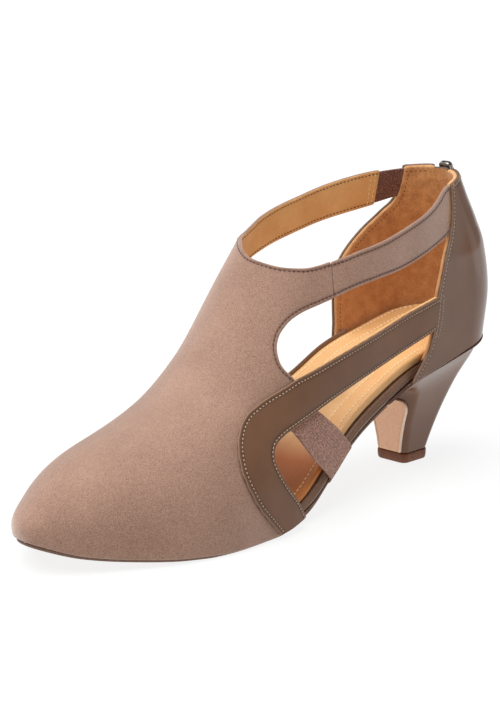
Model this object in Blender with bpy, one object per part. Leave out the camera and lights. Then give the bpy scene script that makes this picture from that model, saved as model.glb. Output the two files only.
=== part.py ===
# Women's cut-out shootie for the left foot: a suede vamp with ankle straps, a leather
# side band, an elastic at the arch, a leather counter with a back zip and a tapered heel.
# Sizes are in millimetres in the tables and become metres in the meshes. X runs from the
# back of the heel seat to the toe, Y to the outer side of the foot, Z up from the floor.

import math

import bmesh
import bpy
import numpy as np

MM = 0.001

# Driving dimensions of the shoe
LENGTH = 249.5            # heel seat to toe tip, along the floor
WALL = 1.6                # suede with its lining
GAP = 0.3                 # clearance between neighbouring pieces
OVERLAY = 1.0             # leather of the side band and of the counter
BOX_CENTRE = (123.78, 0.96)  # middle of the finished shoe, seen from above

# Ends of the last
HEEL_RADIUS = 26.0        # plan radius of the heel seat
NOSE_WIDTH_FROM = 185.0   # the plan starts to round towards the toe here
NOSE_HEIGHT_FROM = 205.0  # the crown starts to round towards the toe here
NOSE_HEIGHT_POWER = 3.0
TOE_BULGE = 1.5           # the toe stands this far over its own sole edge
TOE_BULGE_FROM = 215.0
TOE_BULGE_HEIGHT = 14.0
BACK_FADE = 70.0          # the back curve dies away this far forward
ANKLE_FADE = 100.0        # and so does the narrowing towards the ankle
ROOF = 134.0              # the form is closed here, above the topline

# Sections of the last. feather is the upper's lower edge, crown the ridge of the instep
# (above the ankle it carries on up the leg), lateral and medial the half widths at the
# feather, full how square the arch is and bulge its swell at mid height.
LAST_COLUMNS = ("x", "feather", "crown", "lateral", "medial", "full", "bulge")
LAST = np.array((
    (0, 57.0, 205, 26.0, 26.0, 2.6, 0.0),
    (20, 53.5, 205, 26.0, 26.0, 2.6, 0.0),
    (40, 49.0, 205, 26.5, 26.5, 2.6, 1.5),
    (65, 43.0, 203, 27.0, 26.0, 2.6, 4.5),
    (85, 34.7, 188, 27.5, 25.0, 2.5, 5.0),
    (102, 26.4, 160, 29.0, 26.0, 2.4, 4.0),
    (117, 16.4, 131.5, 31.5, 28.5, 2.3, 2.5),
    (137, 5.8, 102.2, 36.0, 33.5, 2.2, 1.0),
    (156, 1.9, 73, 39.0, 37.0, 2.2, 0.5),
    (175, 1.5, 55.2, 40.0, 39.0, 2.2, 0.5),
    (200, 2.6, 44.2, 36.5, 39.0, 2.2, 0.5),
    (220, 4.7, 39.4, 31.0, 37.0, 2.2, 0.5),
    (235, 7.3, 36.2, 27.0, 35.0, 2.2, 0.5),
    (249.5, 12.2, 33.5, 24.0, 33.0, 2.2, 0.5),
))

# The back of the counter: how far it leans forward, and how much it narrows
BACK_COLUMNS = ("height", "lean", "narrow")
BACK = np.array((
    (-20, 2.6, 0.03),
    (0, 1.4, 0.02),
    (20, -1.6, -0.01),
    (40, 1.0, 0.07),
    (50, 4.9, 0.18),
    (62, 10.8, 0.32),
    (75, 16.4, 0.45),
    (95, 23.0, 0.54),
))

# Facets of the form
STATIONS = 54
ROWS = 13
CURVE_STEP = 3.5          # longest straight piece of a cut edge

# Lines of the upper, as (x, z) points seen from the outer side
THROAT = (136.6, 102.9)
TOPLINE_OUTER = ((140, 112), THROAT, (129, 100.1), (115, 101.9), (90, 107.7), (55, 116.5),
                 (38, 121.8), (24, 125.6), (-10, 130))
TOPLINE_INNER = ((140, 112), THROAT, (129, 104.6), (118, 108), (105, 112.6), (77, 118.6),
                 (45, 125.2), (27, 127.2), (-10, 130))
STRAP_LOW_OUTER = ((40.6, 103.8), (61, 97.8), (82, 92.8), (103, 89), (122, 86), (131.4, 83.3))
VAMP_EDGE_OUTER = ((136.1, 80.7), (140.1, 77.2), (143.3, 71.9), (144.1, 66.5), (142.9, 62.7),
                   (140, 59))
BAND_TOP = ((140, 59), (127, 62), (109.6, 66.2), (90.7, 70.5), (70.7, 75.2), (52, 78.4))
COUNTER_FRONT_OUTER = ((33.8, 127), (36.5, 113), (40.8, 102.2), (45.9, 93.7), (49.4, 85.7), (52, 78.4),
                       (53, 69.2), (56, 57), (60.6, 50.6), (66.5, 43.2), (69, 38))
BAND_FRONT = ((155, -4), (157.5, 1.7), (163, 7.7), (169, 14.7), (173, 22.7), (174.4, 29.7), (173, 36.7),
              (169.5, 42.7), (164.5, 47.7), (157, 52), (149, 55.4), (140, 59))
BAND_LOW = ((135.5, -4), (140.9, 4.8), (147.3, 13.9), (152.3, 19.9), (156.2, 26.2), (157.8, 31.7),
            (156.4, 35.7), (151.7, 38.8), (146, 40.9), (129, 45.9), (109.5, 50.8), (89, 55.5), (75.8, 58.8),
            (54.2, 64))
STRAP_LOW_INNER = ((22, 113.6), (32.5, 111.4), (52, 108), (75.5, 103.6), (101.6, 97.8))
VAMP_EDGE_INNER = ((113, 94), (124, 86.5), (133, 76), (138.5, 62), (139.5, 45), (137, 25), (131, -5))
COUNTER_FRONT_INNER = ((62, 32), (56.5, 47), (54.6, 58), (54.2, 72), (53, 83), (47.5, 91.5), (39.7, 99.3),
                       (30, 107), (22, 113.6))
STRAP_GAP = (24.3, 35.2)  # the short elastic of the inner strap fills this stretch

# Elastics: the one at the arch runs from the band down over the edge of the sole
ELASTIC = 0.9
ARCH_ELASTIC = ((146.2, 40.4), (133.5, 26), (120.7, 15.1), (116, 7.2), (99, 16.4), (105.3, 24.8),
                (116.3, 34.3), (130.5, 45.2))
STRAP_ELASTIC_SUNK = 0.4  # below the strap's outer face
STRAP_ELASTIC_MARGIN = 0.8

# Sole. rim and insole are thicknesses
SOLE_COLUMNS = ("x", "rim", "rim_inset", "insole")
SOLE = np.array((
    (0, 4.2, 2.1, 4.0),
    (55, 4.2, 2.1, 4.0),
    (76, 4.2, 1.2, 4.0),
    (125, 4.2, 1.2, 4.0),
    (142, 3.2, 2.1, 3.2),
    (165, 2.0, 2.1, 2.4),
    (249.5, 2.0, 2.1, 2.4),
))
OUTSOLE = 1.3
OUTSOLE_INSET = 1.3
OUTSOLE_REAR = 80.3
FLOOR_REACH = 0.4         # sole edges this near the floor are brought down to it
INSOLE_INSET = 3.1
SOLE_STATIONS = 36

# Heel, from the seat (level 0) to the lift (level 1)
HEEL_COLUMNS = ("level", "back", "front", "half_width")
HEEL = np.array((
    (0.00, 0.8, 80.0, 26.6),
    (0.06, 3.6, 79.0, 24.5),
    (0.10, 5.2, 66.6, 23.1),
    (0.16, 7.2, 56.8, 21.0),
    (0.24, 9.8, 52.0, 18.6),
    (0.33, 12.6, 49.6, 16.4),
    (0.50, 16.8, 48.2, 13.3),
    (0.68, 21.0, 47.4, 10.8),
    (0.86, 25.2, 46.8, 9.1),
    (1.00, 28.4, 46.4, 8.2),
))
HEEL_LEVELS = (0, 0.03, 0.06, 0.08, 0.1, 0.13, 0.16, 0.2, 0.24, 0.29, 0.35, 0.43, 0.52, 0.62, 0.72, 0.82, 0.91, 1)
HEEL_SIDE_POINTS = 14
LIFT = 4.5
LIFT_PROUD = 0.3
BREAST_PANEL = 0.8
BREAST_PANEL_TOP = 29.0
BREAST_PANEL_MARGIN = 1.3
BREAST_PANEL_ROUND = 5.0

# Zip at the back
ZIP_HALF_WIDTH = 3.6      # half of the slot in the counter
ZIP_FOOT = 71.0           # the slot ends here, so the counter stays whole below it
ZIP_TOP = 127.4
ZIP_DEPTH = 22.0          # the back wall lies behind this
TAPE = 1.0
TAPE_SUNK = 0.2
TEETH_HALF_WIDTH = 1.5
TEETH_PROUD = 0.5
SLIDER_HEIGHT = 125.2     # height of the slider's middle
SLIDER_LEAN = math.radians(24)
SLIDER_STAND = 0.9        # from the form's surface to the slider
SLIDER = dict(half_top=3.3, half_foot=2.4, up=3.8, down=4.2, thick=2.4)
BAIL = dict(half_width=0.8, half_open=1.5, leg=0.9, clear=1.8, top=0.8)
PULL = dict(half_width=2.3, arm=1.1, eye=3.4, length=16.5, thick=1.2, pin_radius=0.6)

COLOURS = dict(
    suede=((0.335, 0.205, 0.158), 0.95, 0.0),
    leather=((0.145, 0.098, 0.072), 0.42, 0.0),
    elastic=((0.270, 0.165, 0.140), 0.90, 0.0),
    dark_elastic=((0.070, 0.032, 0.022), 0.90, 0.0),
    footbed=((0.640, 0.360, 0.150), 0.60, 0.0),
    breast=((0.610, 0.360, 0.240), 0.55, 0.0),
    outsole=((0.090, 0.055, 0.040), 0.70, 0.0),
    lift=((0.120, 0.045, 0.018), 0.55, 0.0),
    tape=((0.120, 0.080, 0.060), 0.85, 0.0),
    metal=((0.560, 0.550, 0.540), 0.25, 1.0),
)


def smooth(knots, values, where):
    """Cubic through the knots that never overshoots them."""
    steps = np.diff(knots)
    slopes = np.diff(values) / steps
    same_way = slopes[:-1] * slopes[1:] > 0
    before = np.where(same_way, slopes[:-1], 1.0)
    after = np.where(same_way, slopes[1:], 1.0)
    weight_before = 2 * steps[1:] + steps[:-1]
    weight_after = steps[1:] + 2 * steps[:-1]
    middle = (weight_before + weight_after) / (weight_before / before + weight_after / after)
    tangents = np.concatenate(([slopes[0]], np.where(same_way, middle, 0.0), [slopes[-1]]))
    span = np.clip(np.searchsorted(knots, where) - 1, 0, len(steps) - 1)
    part = np.clip((where - knots[span]) / steps[span], 0.0, 1.0)
    rest = 1.0 - part
    return (
        values[span] * (1 + 2 * part) * rest ** 2
        + tangents[span] * steps[span] * part * rest ** 2
        + values[span + 1] * part ** 2 * (3 - 2 * part)
        - tangents[span + 1] * steps[span] * part ** 2 * rest
    )


def read(table, columns, name, where):
    """One named column of a table, read smoothly along its first column."""
    return smooth(table[:, 0], table[:, columns.index(name)], np.asarray(where, float))


def last_value(name, x):
    return read(LAST, LAST_COLUMNS, name, x)


def sole_value(name, x):
    return read(SOLE, SOLE_COLUMNS, name, x)


def fraction(x, start, end):
    return np.clip((x - start) / (end - start), 0.0, 1.0)


def plan_rounding(x):
    """Rounds the plan at the heel (a circle) and at the toe (an ellipse)."""
    heel = 1.0 - fraction(x, 0.0, HEEL_RADIUS)
    toe = fraction(x, NOSE_WIDTH_FROM, LENGTH)
    return np.sqrt(1.0 - heel ** 2) * np.sqrt(1.0 - toe ** 2)


def crown_height(x):
    nose = np.sqrt(1.0 - fraction(x, NOSE_HEIGHT_FROM, LENGTH) ** NOSE_HEIGHT_POWER)
    return (last_value("crown", x) - last_value("feather", x)) * nose


def form_point(along, rise, side, roof=ROOF):
    """A point of the last: along 0 at the heel to 1 at the toe, rise 0 at the feather to 1 at the crown.

    The section is an arch, half width times the root of 1 - height to the power full, with a swell.
    """
    x = LENGTH * (0.5 - 0.5 * np.cos(np.pi * along))
    feather = last_value("feather", x)
    crown = crown_height(x)
    cap = np.clip((roof - feather) / np.maximum(crown, 1e-6), 0.0, 1.0)
    level = cap * np.sin(0.5 * np.pi * rise)
    half = np.where(side > 0, last_value("lateral", x), last_value("medial", x))
    arch = np.sqrt(np.clip(1.0 - level ** last_value("full", x), 0.0, 1.0))
    width = plan_rounding(x) * (half * arch + last_value("bulge", x) * np.sin(np.pi * level))
    height = crown * level
    narrow = read(BACK, BACK_COLUMNS, "narrow", height)
    lean = read(BACK, BACK_COLUMNS, "lean", height)
    width = width * (1.0 - narrow * (1.0 - fraction(x, 0.0, ANKLE_FADE)) ** 2)
    toe = TOE_BULGE * fraction(x, TOE_BULGE_FROM, LENGTH) ** 2
    toe = toe * np.sin(np.pi * fraction(height, 0.0, TOE_BULGE_HEIGHT))
    shifted = x + lean * (1.0 - fraction(x, 0.0, BACK_FADE)) ** 2 + toe
    return np.stack([shifted, side * width, feather + height], axis=-1)


def form_skin(offset, side):
    """The form as a grid of points, moved out along its own normals by offset, and its roof row."""
    along, rise = np.meshgrid(np.linspace(0, 1, STATIONS), np.linspace(0, 1, ROWS), indexing="ij")
    roof = ROOF + offset
    reach = 1e-3
    forward = (form_point(np.minimum(along + reach, 1), rise, side, roof)
               - form_point(np.maximum(along - reach, 0), rise, side, roof))
    upward = (form_point(along, np.minimum(rise + reach, 1), side, roof)
              - form_point(along, np.maximum(rise - reach, 0), side, roof))
    normal = -side * np.cross(forward, upward)
    normal[-1] = (1.0, 0.0, 0.0)
    normal[0, :, 1] = 0.0
    points = form_point(along, rise, side, roof)
    on_ridge = np.abs(points[:, -1, 1]) < 1e-6
    normal[on_ridge, -1, 1] = 0.0
    normal = normal / np.linalg.norm(normal, axis=-1, keepdims=True)
    moved = points + offset * normal
    closing = np.where(on_ridge[:, None], moved[:, -1], points[:, -1] * np.array((1.0, 0.0, 1.0)))
    return np.concatenate([moved, closing[:, None]], axis=1)


def place(points):
    """Millimetres from the heel seat to metres from the middle of the shoe."""
    centre = np.array((BOX_CENTRE[0], BOX_CENTRE[1], 0.0))
    return (np.asarray(points, float) - centre) * MM


def material(name):
    colour, roughness, metallic = COLOURS[name]
    found = bpy.data.materials.get(name)
    if found:
        return found
    made = bpy.data.materials.new(name)
    made.use_nodes = True
    shader = made.node_tree.nodes["Principled BSDF"]
    shader.inputs["Base Color"].default_value = (*colour, 1.0)
    shader.inputs["Roughness"].default_value = roughness
    shader.inputs["Metallic"].default_value = metallic
    return made


def make_object(name, points, faces, finish=None, weld=1e-5):
    """A closed mesh object from points in millimetres; one with no finish is a hidden cutter."""
    mesh = bpy.data.meshes.new(name)
    build = bmesh.new()
    corners = [build.verts.new(point) for point in place(points)]
    for face in faces:
        build.faces.new([corners[index] for index in face])
    bmesh.ops.remove_doubles(build, verts=build.verts, dist=weld)
    bmesh.ops.dissolve_degenerate(build, edges=build.edges, dist=weld)
    bmesh.ops.recalc_face_normals(build, faces=build.faces)
    build.to_mesh(mesh)
    build.free()
    made = bpy.data.objects.new(name, mesh)
    bpy.context.scene.collection.objects.link(made)
    if finish:
        mesh.materials.append(material(finish))
        mesh.shade_smooth()
        mesh.set_sharp_from_angle(angle=math.radians(35))
    else:
        made.hide_render = True
        made.display_type = "WIRE"
    return made


def boolean(target, cutter, operation="DIFFERENCE"):
    modifier = target.modifiers.new(cutter.name, "BOOLEAN")
    modifier.object = cutter
    modifier.operation = operation
    modifier.solver = "EXACT"


def grid_faces(rows, columns, start=0):
    index = np.arange(rows * columns).reshape(rows, columns) + start
    quads = np.stack([index[:-1, :-1], index[1:, :-1], index[1:, 1:], index[:-1, 1:]], axis=-1)
    return [tuple(quad) for quad in quads.reshape(-1, 4).tolist()]


def shell(name, inner, outer, finish, skirt=0.0):
    """The whole last as one wall between two offsets, open underneath; skirt carries it below the feather."""
    points, faces, start = [], [], 0
    for side in (1, -1):
        skins = []
        for offset in (inner, outer):
            skin = form_skin(offset, side)
            if skirt:
                skin = np.concatenate([skin[:, :1] - np.array((0.0, 0.0, skirt)), skin], axis=1)
            rows, columns = skin.shape[:2]
            faces += grid_faces(rows, columns, start)
            skins.append(start + np.arange(rows) * columns)
            points.append(skin.reshape(-1, 3))
            start += rows * columns
        edge = np.stack([skins[0][:-1], skins[0][1:], skins[1][1:], skins[1][:-1]], axis=-1)
        faces += [tuple(quad) for quad in edge.tolist()]
    return make_object(name, np.concatenate(points), faces, finish)


def curve_through(points, step=CURVE_STEP):
    """A smooth curve through points, as short straight pieces (Catmull-Rom by chord length)."""
    points = np.asarray(points, float)
    chords = np.sqrt(np.linalg.norm(np.diff(points, axis=0), axis=1))
    knots = np.concatenate(([0.0], np.cumsum(chords)))
    slopes = np.gradient(points, knots, axis=0)
    made = [points[:1]]
    for index in range(len(points) - 1):
        span = knots[index + 1] - knots[index]
        count = max(1, int(np.ceil(np.linalg.norm(points[index + 1] - points[index]) / step)))
        part = (np.arange(1, count + 1) / count)[:, None]
        rest = 1.0 - part
        made.append(
            points[index] * (1 + 2 * part) * rest ** 2
            + slopes[index] * span * part * rest ** 2
            + points[index + 1] * part ** 2 * (3 - 2 * part)
            - slopes[index + 1] * span * part ** 2 * rest
        )
    return np.concatenate(made)


def outline(*runs):
    """Joins curves end to end into one closed outline, without repeated points."""
    points = np.concatenate(runs)
    apart = np.linalg.norm(points - np.roll(points, 1, axis=0), axis=1) > 0.05
    return points[apart]


def shift(points, dx=0.0, dz=0.0):
    return np.asarray(points, float) + np.array((dx, dz))


def prism(name, points, y_from, y_to):
    """A cutter with an (x, z) outline, through y_from to y_to."""
    count = len(points)
    near = np.column_stack([points[:, 0], np.full(count, y_from), points[:, 1]])
    far = np.column_stack([points[:, 0], np.full(count, y_to), points[:, 1]])
    faces = [tuple(range(count)), tuple(range(2 * count - 1, count - 1, -1))]
    for index in range(count):
        after = (index + 1) % count
        faces.append((index, index + count, after + count, after))
    return make_object(name, np.concatenate([near, far]), faces)


def block(name, low, high):
    return prism(name, np.array(((low[0], low[2]), (high[0], low[2]), (high[0], high[2]), (low[0], high[2]))),
                 low[1], high[1])


# Reach of the cutters, past everything they cut
OUTER_SIDE = (1.0, 70.0)
INNER_SIDE = (-70.0, -1.0)
OUTER_HALF = (0.07, 70.0)
INNER_HALF = (-70.0, 0.11)
MIDDLE_STEP = 0.2
BEHIND = -20.0
AHEAD = 300.0
HIGH = 160.0
LOW = -15.0


def below(line, foot):
    """The points of a line that lie lower than foot."""
    return [point for point in line if point[1] < foot]


def between(line, foot, head):
    return [point for point in line if foot < point[1] < head]


def cut_topline(piece, drop=0.0):
    """Takes away what lies above the topline; the cutter's underside steps between the two lines at the middle."""
    outer, inner = curve_through(TOPLINE_OUTER), curve_through(TOPLINE_INNER)
    x = outer[:, 0]
    inner_height = np.interp(-x, -inner[:, 0], inner[:, 1])
    sections = []
    for y, height in ((OUTER_HALF[1], outer[:, 1]), (MIDDLE_STEP, outer[:, 1]),
                      (-MIDDLE_STEP, inner_height), (INNER_HALF[0], inner_height)):
        low = np.column_stack([x, np.full(len(x), y), height - drop])
        high = low[::-1] * np.array((1.0, 1.0, 0.0)) + np.array((0.0, 0.0, HIGH))
        sections.append(np.concatenate([low, high]))
    boolean(piece, loft(piece.name + "_topline", sections, None))


def cut_zip_slot(piece, half_width):
    boolean(piece, block(piece.name + "_zip", (BEHIND, -half_width, ZIP_FOOT), (40.0, half_width, HIGH)))


def add_upper():
    upper = shell("upper", -WALL, 0.0, "suede")
    cut_topline(upper)
    band_corner, band_foot = BAND_TOP[-1], BAND_LOW[-1]
    window = outline(
        curve_through(STRAP_LOW_OUTER + VAMP_EDGE_OUTER),
        curve_through(BAND_TOP),
        curve_through((band_corner, *reversed(between(COUNTER_FRONT_OUTER, 79, 103)), STRAP_LOW_OUTER[0])),
    )
    boolean(upper, prism("upper_window", window, *OUTER_SIDE))
    counter_foot = below(COUNTER_FRONT_OUTER, 60)
    arch = outline(
        curve_through(BAND_LOW),
        curve_through((band_foot, *counter_foot)),
        np.array(((counter_foot[-1][0], LOW), (BAND_LOW[0][0], LOW))),
    )
    boolean(upper, prism("upper_arch", arch, *OUTER_SIDE))
    inner_opening = outline(
        curve_through(STRAP_LOW_INNER + VAMP_EDGE_INNER),
        np.array(((VAMP_EDGE_INNER[-1][0], LOW), (COUNTER_FRONT_INNER[0][0], LOW))),
        curve_through(COUNTER_FRONT_INNER),
    )
    boolean(upper, prism("upper_inner_opening", inner_opening, *INNER_SIDE))
    gap_foot = 109.0
    boolean(upper, block("upper_strap_gap", (STRAP_GAP[0], -70.0, gap_foot), (STRAP_GAP[1], -1.0, HIGH)))
    cut_zip_slot(upper, ZIP_HALF_WIDTH)


def add_side_band():
    band = shell("side_band", GAP, GAP + OVERLAY, "leather")
    rear = between(COUNTER_FRONT_OUTER, BAND_LOW[-1][1], BAND_TOP[-1][1])
    rear = shift((BAND_TOP[-1], *rear, BAND_LOW[-1]), dx=GAP + 0.1)
    shape = outline(
        curve_through(BAND_FRONT),
        curve_through((*BAND_TOP[:-1], rear[0])),
        curve_through(rear),
        curve_through((rear[-1], *reversed(BAND_LOW[:-1]))),
    )
    boolean(band, prism("side_band_shape", shape, *OUTER_SIDE), "INTERSECT")


def add_counter_cover():
    cover = shell("counter_cover", GAP, GAP + OVERLAY, "leather")
    inner_front = ((62, 32), *COUNTER_FRONT_INNER[1:-1], (STRAP_GAP[0], 112.5), (STRAP_GAP[0], 132))
    for label, line, side in (("outer", COUNTER_FRONT_OUTER[::-1], OUTER_HALF), ("inner", inner_front, INNER_HALF)):
        front = np.array(((line[-1][0], HIGH), (AHEAD, HIGH), (AHEAD, LOW), (line[0][0], LOW)))
        boolean(cover, prism("counter_cover_front_" + label, outline(curve_through(line), front), *side))
    cut_topline(cover)
    cut_zip_slot(cover, ZIP_HALF_WIDTH + 0.6)


def add_arch_elastic():
    elastic = shell("arch_elastic", -ELASTIC, 0.0, "elastic", skirt=OUTSOLE)
    front, foot, rear = ARCH_ELASTIC[:4], ARCH_ELASTIC[3:5], ARCH_ELASTIC[4:]
    shape = outline(curve_through(front), np.array(foot), curve_through(rear))
    boolean(elastic, prism("arch_elastic_shape", shape, *OUTER_SIDE), "INTERSECT")


def add_strap_elastic():
    outside = -STRAP_ELASTIC_SUNK
    elastic = shell("strap_elastic", outside - ELASTIC, outside, "dark_elastic")
    low = shift(STRAP_LOW_INNER, dz=STRAP_ELASTIC_MARGIN)
    left, right = STRAP_GAP[0] + GAP, STRAP_GAP[1] - GAP
    foot = np.interp((left, right), low[:, 0], low[:, 1])
    shape = np.array(((left, foot[0]), (right, foot[1]), (right, HIGH), (left, HIGH)))
    boolean(elastic, prism("strap_elastic_shape", shape, *INNER_SIDE), "INTERSECT")
    cut_topline(elastic, drop=STRAP_ELASTIC_MARGIN)


def plan_edge(x, side, inset):
    """Edge of the sole seen from above: the feather line, moved in by inset along its own normal."""
    along = np.arccos(1.0 - 2.0 * np.asarray(x, float) / LENGTH) / np.pi
    reach = 1e-3
    ahead = form_point(np.minimum(along + reach, 1.0), 0.0, side)[..., :2]
    behind = form_point(np.maximum(along - reach, 0.0), 0.0, side)[..., :2]
    run = ahead - behind
    normal = side * np.stack([-run[..., 1], run[..., 0]], axis=-1)
    at_end = (along < reach) | (along > 1.0 - reach)
    normal[at_end, 1] = 0.0
    normal = normal / np.linalg.norm(normal, axis=-1, keepdims=True)
    return form_point(along, 0.0, side)[..., :2] - inset[..., None] * normal


def sole_bottom(x):
    """Underside of the outsole, flat on the floor at the ball."""
    height = last_value("feather", x) - GAP - OUTSOLE
    return np.where(height < FLOOR_REACH, 0.0, height - FLOOR_REACH)


def rim_bottom(x):
    return last_value("feather", x)


def rim_top(x):
    return rim_bottom(x) + sole_value("rim", x)


def insole_top(x):
    return rim_top(x) + GAP + sole_value("insole", x)


def sole_layer(name, finish, x_from, x_to, inset, low, high):
    """A layer of the sole between two height lines, in two strips across the foot."""
    along = np.linspace(math.acos(1 - 2 * x_from / LENGTH), math.acos(1 - 2 * x_to / LENGTH), SOLE_STATIONS)
    x = LENGTH * (0.5 - 0.5 * np.cos(along))
    outer = plan_edge(x, 1, inset(x))
    inner = plan_edge(x, -1, inset(x))
    share = np.linspace(0.0, 1.0, 3)[None, :, None]
    plan = outer[:, None] * (1.0 - share) + inner[:, None] * share
    rows, columns = plan.shape[:2]
    levels = [np.concatenate([plan, line(plan[..., :1])], axis=-1).reshape(-1, 3) for line in (low, high)]
    count = rows * columns
    faces = grid_faces(rows, columns) + grid_faces(rows, columns, count)
    index = np.arange(count).reshape(rows, columns)
    edge = np.concatenate([index[:, 0], index[-1, 1:], index[-2::-1, -1], index[0, -2:0:-1]])
    for here, after in zip(edge, np.roll(edge, -1)):
        faces.append((here, after, after + count, here + count))
    return make_object(name, np.concatenate(levels), faces, finish)


def add_sole():
    sole_layer("outsole", "outsole", OUTSOLE_REAR, LENGTH, lambda x: np.full(x.shape, OUTSOLE_INSET),
               sole_bottom, lambda x: last_value("feather", x) - GAP)
    sole_layer("waist_rim", "leather", 0.0, LENGTH, lambda x: sole_value("rim_inset", x), rim_bottom, rim_top)
    sole_layer("insole", "footbed", 0.0, LENGTH, lambda x: np.full(x.shape, INSOLE_INSET),
               lambda x: rim_top(x) + GAP, insole_top)


def heel_section(level, proud=0.0):
    """Plan of the heel at a level: the seat's own outline, squeezed between its back and front lines."""
    back, front, half_width = (read(HEEL, HEEL_COLUMNS, name, level) for name in HEEL_COLUMNS[1:])
    back, front, half_width = back - proud, front + proud, half_width + proud
    seat_front = HEEL[0, HEEL_COLUMNS.index("front")]
    ease = (0.5 - 0.5 * np.cos(np.pi * np.linspace(0, 1, HEEL_SIDE_POINTS) ** 0.8 * 0.5)) * 2
    x = seat_front * ease
    width = plan_rounding(x) * half_width
    plan_x = back + x / seat_front * (front - back)
    outer = np.column_stack([plan_x, width])[::-1]
    inner = np.column_stack([plan_x, -width])[1:]
    return np.concatenate([outer, inner])


def loft(name, sections, finish):
    """A closed solid through sections that have the same number of points."""
    count = len(sections[0])
    points = np.concatenate(sections)
    faces = [tuple(range(count)), tuple(range(len(points) - count, len(points)))]
    for level in range(len(sections) - 1):
        for index in range(count):
            after = (index + 1) % count
            here = level * count
            faces.append((here + index, here + after, here + count + after, here + count + index))
    return make_object(name, points, faces, finish)


def heel_foot():
    return LIFT + GAP


def add_heel():
    sections = []
    for level in HEEL_LEVELS:
        plan = heel_section(level)
        top = last_value("feather", np.clip(plan[:, 0], 0.0, None)) - GAP
        height = (1.0 - level) * top + level * heel_foot()
        sections.append(np.column_stack([plan, height]))
    loft("heel", sections, "leather")
    plan = heel_section(1.0, LIFT_PROUD)
    loft("top_lift", [np.column_stack([plan, np.full(len(plan), height)]) for height in (0.0, LIFT)], "lift")


def breast_line(height):
    """Front of the heel and its half width at a height, from the heel's levels."""
    levels = np.linspace(0.2, 1.0, 60)
    front = read(HEEL, HEEL_COLUMNS, "front", levels)
    top = last_value("feather", front) - GAP
    heights = (1.0 - levels) * top + levels * heel_foot()
    half_width = read(HEEL, HEEL_COLUMNS, "half_width", levels)
    return np.interp(height, heights[::-1], front[::-1]), np.interp(height, heights[::-1], half_width[::-1])


def add_breast_panel():
    """Tan panel on the front of the heel, with a rounded top."""
    foot, head = heel_foot() + GAP, BREAST_PANEL_TOP
    heights = np.concatenate([np.linspace(foot, head - BREAST_PANEL_ROUND, 6),
                              head - BREAST_PANEL_ROUND * (1 - np.sin(np.radians((25, 50, 72, 90))))])
    front, half_width = breast_line(heights)
    over = np.clip((heights - head + BREAST_PANEL_ROUND) / BREAST_PANEL_ROUND, 0, 1)
    half_width = half_width - BREAST_PANEL_MARGIN - BREAST_PANEL_ROUND * (1 - np.sqrt(1 - over ** 2)) * 0.9
    sections = []
    for x, y, z in zip(front + GAP, half_width, heights):
        sections.append(np.array(((x, y, z), (x + BREAST_PANEL, y, z), (x + BREAST_PANEL, -y, z), (x, -y, z))))
    loft("heel_breast", sections, "breast")


def add_zip_strip(name, finish, inner, outer, half_width):
    """A strip of the form's own back, between two offsets, from the zip's foot to its top."""
    strip = shell(name, inner, outer, finish)
    reach = block(name + "_shape", (BEHIND, -half_width, ZIP_FOOT + GAP), (ZIP_DEPTH, half_width, ZIP_TOP))
    boolean(strip, reach, "INTERSECT")


def add_zip():
    tape_outside = TAPE - WALL + TAPE_SUNK
    add_zip_strip("zip_tape", "tape", TAPE_SUNK - WALL, tape_outside, ZIP_HALF_WIDTH - GAP)
    add_zip_strip("zip_teeth", "metal", tape_outside + GAP, TEETH_PROUD, TEETH_HALF_WIDTH)


def slider_place(points):
    """From the slider's own axes (out from the back, across, up along the zip) to the shoe's."""
    height = SLIDER_HEIGHT - last_value("feather", 0.0)
    seat = np.array((read(BACK, BACK_COLUMNS, "lean", height), 0.0, SLIDER_HEIGHT))
    outward = np.array((-math.cos(SLIDER_LEAN), 0.0, math.sin(SLIDER_LEAN)))
    upward = np.array((math.sin(SLIDER_LEAN), 0.0, math.cos(SLIDER_LEAN)))
    points = np.asarray(points, float)
    return seat + points[:, :1] * outward + points[:, 1:2] * np.array((0.0, 1.0, 0.0)) + points[:, 2:] * upward


def pin_axis():
    """Distance of the pull's pin from the form's surface."""
    return SLIDER_STAND + SLIDER["thick"] + GAP + PULL["pin_radius"]


def box_points(low, high):
    (a, b, c), (d, e, f) = low, high
    return np.array(((a, b, c), (d, b, c), (d, e, c), (a, e, c), (a, b, f), (d, b, f), (d, e, f), (a, e, f)))


BOX_FACES = ((0, 3, 2, 1), (4, 5, 6, 7), (0, 1, 5, 4), (1, 2, 6, 5), (2, 3, 7, 6), (3, 0, 4, 7))


def slider_box(name, low, high, finish=None):
    return make_object(name, slider_place(box_points(low, high)), BOX_FACES, finish)


def add_zip_slider():
    low, high = SLIDER_STAND, SLIDER_STAND + SLIDER["thick"]
    points = box_points((low, -SLIDER["half_top"], -SLIDER["down"]), (high, SLIDER["half_top"], SLIDER["up"]))
    points[:4, 1] *= SLIDER["half_foot"] / SLIDER["half_top"]
    slider = make_object("zip_slider", slider_place(points), BOX_FACES, "metal")
    bevel = slider.modifiers.new("rounding", "BEVEL")
    bevel.width = 0.6 * MM
    bevel.segments = 2
    bail_top = high + BAIL["clear"] + BAIL["top"]
    outside = BAIL["half_open"] + BAIL["leg"]
    bail = slider_box("slider_bail", (high - 0.5, -BAIL["half_width"], -outside),
                      (bail_top, BAIL["half_width"], outside))
    hole = slider_box("slider_bail_hole", (high, -2.0, -BAIL["half_open"]),
                      (high + BAIL["clear"], 2.0, BAIL["half_open"]))
    boolean(bail, hole)
    boolean(slider, bail, "UNION")


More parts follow.
